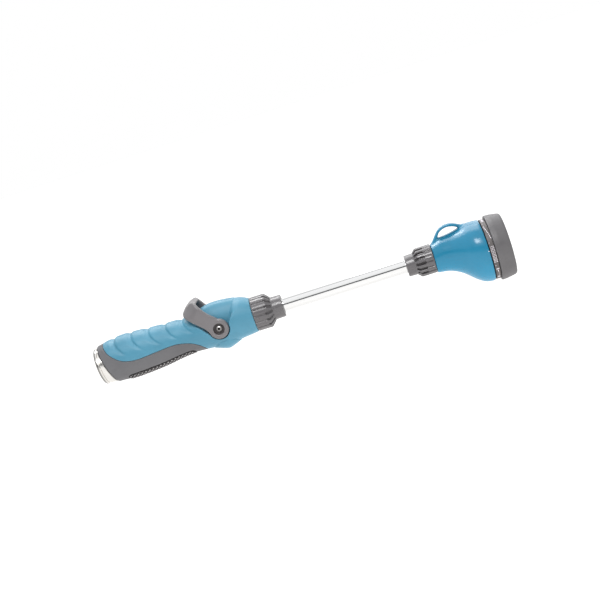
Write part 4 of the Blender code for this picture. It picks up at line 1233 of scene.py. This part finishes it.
# Greys round the wand's own axis, from -180 to 180 degrees, with 0 to the front and 90 straight up. Polished
# pieces mirror FLAGS, and SKY is the scattered light.
FLAGS = ((-180, 1.0), (0, 1.0), (7, 0.95), (11, 0.05), (25, 0.05), (29, 0.8), (45, 0.95), (98, 1.0))
FLAGS += ((105, 1.0), (111, 0.6), (126, 0.6), (133, 1.0), (180, 1.0))
SKY = ((-180, 0.5), (0, 0.20), (40, 0.36), (90, 0.70), (140, 0.5), (180, 0.5))


def grey_ramp(tree, value, stops):
    """A ramp of greys over angles."""
    ramp = tree.make("ValToRGB", {"Fac": value})
    elements = ramp.color_ramp.elements
    for angle, grey in stops[1:-1]:
        elements.new((angle + 180) / 360).color = (grey, grey, grey, 1.0)
    for end, (_, grey) in ((0, stops[0]), (-1, stops[-1])):
        elements[end].color = (grey, grey, grey, 1.0)
    return ramp.outputs["Color"]


# Name, angle round the tube, shift along it, distance, size, power, and the pieces that the light leaves out.
# It would burn out the tube and the inlet, which mirror the sky instead, and the wide one would veil the
# head.
SOFTBOXES = (
    ("front_softbox", 47.0, 0.11, 1.1, (0.24, 0.26), 4.4, ("water_tube",)),
    ("front_wide", 47.0, -0.18, 1.1, (0.80, 0.26), 5.0, ("water_tube", "head_skin")),
    ("top_softbox", 115.0, 0.0, 1.0, (0.90, 0.72), 8.0, ("water_tube", "inlet_ring")),
    ("top_strip", 118.0, -0.29, 0.9, (0.46, 0.10), 2.2, ("water_tube",)),
    ("rear_fill", 150.0, 0.3, 1.3, (0.7, 0.5), 1.5, ()),
)


def make_sky():
    """The world: white to the camera, and greys round the wand's axis to mirrored and to scattered light."""
    world = bpy.data.worlds.new("studio")
    bpy.context.scene.world = world
    world.use_nodes = True
    tree = Nodes(world.node_tree)
    way = tree.make("SeparateXYZ", {"Vector": tree.place("Generated")}).outputs
    angle = tree.worked_out("ARCTAN2", way["Z"], tree.worked_out("MULTIPLY", way["Y"], -1.0))
    angle = tree.remap(angle, -math.pi, math.pi, 0.0, 1.0)
    seen = tree.make("LightPath").outputs
    sky = tree.mixed(seen["Is Diffuse Ray"], grey_ramp(tree, angle, FLAGS), grey_ramp(tree, angle, SKY))
    sky = tree.mixed(seen["Is Camera Ray"], sky, (1.0, 1.0, 1.0))
    tree.feed(tree.nodes["Background"], {"Color": sky, "Strength": 1.0})


def make_softboxes():
    for *placing, spared in SOFTBOXES:
        box = softbox(*placing)
        if spared:
            spare(box, spared)


def spare(box, names):
    """Keeps a softbox's light off the named pieces."""
    spared = bpy.data.collections.new(f"spared_by_{box.name}")
    for number, name in enumerate(names):
        spared.objects.link(bpy.data.objects[name])
        spared.collection_objects[number].light_linking.link_state = "EXCLUDE"
    box.light_linking.receiver_collection = spared


FLOOR_HALF = 20.0
FLOOR_GAP = 0.0002
FLOOR_TONE = (0.12, 0.15)
FLOOR_SEEN = 0.945
FLOOR_MIRRORED = 0.89
FLOOR_SCATTERED = 1.8


def make_floor():
    """A pale floor for the camera, with one glowing copy for mirrored and one for scattered light."""
    corners = [(FLOOR_HALF * a, FLOOR_HALF * b, 0) for a, b in ((-1, -1), (1, -1), (1, 1), (-1, 1))]
    mesh = bpy.data.meshes.new("studio_floor")
    mesh.from_pydata(corners, [], [(0, 1, 2, 3)])
    floor = bpy.data.objects.new("studio_floor", mesh)
    floor.location.z = CAD_BOX[0][2] - FLOOR_GAP
    bpy.context.scene.collection.objects.link(floor)
    made, tree, shader = new_material("floor_white")
    tone = tree.remap(tree.noise(tree.place(), 3.0), 0.0, 1.0, *FLOOR_TONE)
    grey = tree.make("CombineColor", {"Red": tone, "Green": tone, "Blue": tone}).outputs["Color"]
    tree.feed(shader, {"Base Color": grey, "Roughness": 0.8, "Specular IOR Level": 0.2})
    tree.feed(shader, {"Emission Color": (1.0, 1.0, 1.0), "Emission Strength": FLOOR_SEEN})
    mesh.materials.append(made)
    lit_floor(floor, "floor_glow", FLOOR_MIRRORED, "visible_diffuse")
    lit_floor(floor, "floor_bounce", FLOOR_SCATTERED, "visible_glossy")


def lit_floor(floor, name, strength, hidden_from):
    """A glowing copy of the floor, hidden from the camera and from one more kind of ray."""
    made = bpy.data.objects.new(name, floor.data.copy())
    made.location.z = floor.location.z + FLOOR_GAP / 2
    made.visible_camera = made.visible_shadow = made.visible_transmission = False
    setattr(made, hidden_from, False)
    bpy.context.scene.collection.objects.link(made)
    shine, tree, shader = new_material(name)
    tree.feed(shader, {"Base Color": (0.02, 0.02, 0.02)})
    tree.feed(shader, {"Emission Color": (1.0, 0.985, 0.965), "Emission Strength": strength})
    made.data.materials.clear()
    made.data.materials.append(shine)


CAMERA_DISTANCE = 1.2
CAMERA_ELEVATION = math.radians(9.0)
CAMERA_SLIDE = 0.075
CAMERA_ROLL = math.radians(17.53)
FRAME_WIDTH = 0.5636
CAMERA_AIM = 0.0008


def make_camera():
    data = bpy.data.cameras.new("camera")
    data.lens = data.sensor_width * CAMERA_DISTANCE / FRAME_WIDTH
    camera = bpy.data.objects.new("camera", data)
    bpy.context.scene.collection.objects.link(camera)
    offset = Vector((0, -math.cos(CAMERA_ELEVATION), math.sin(CAMERA_ELEVATION))) * CAMERA_DISTANCE
    target = Vector(ORIGIN) + Vector((CAMERA_AIM, 0, 0))
    look_at(camera, target + offset + Vector((CAMERA_SLIDE, 0, 0)), target, CAMERA_ROLL)
    bpy.context.scene.camera = camera


make_handle()
make_inlet()
make_lever()
make_tube()
make_nuts()
make_head()
make_dial()
finish_inside()
make_sky()
make_softboxes()
make_floor()
make_camera()
bpy.context.scene.view_settings.view_transform = "Standard"
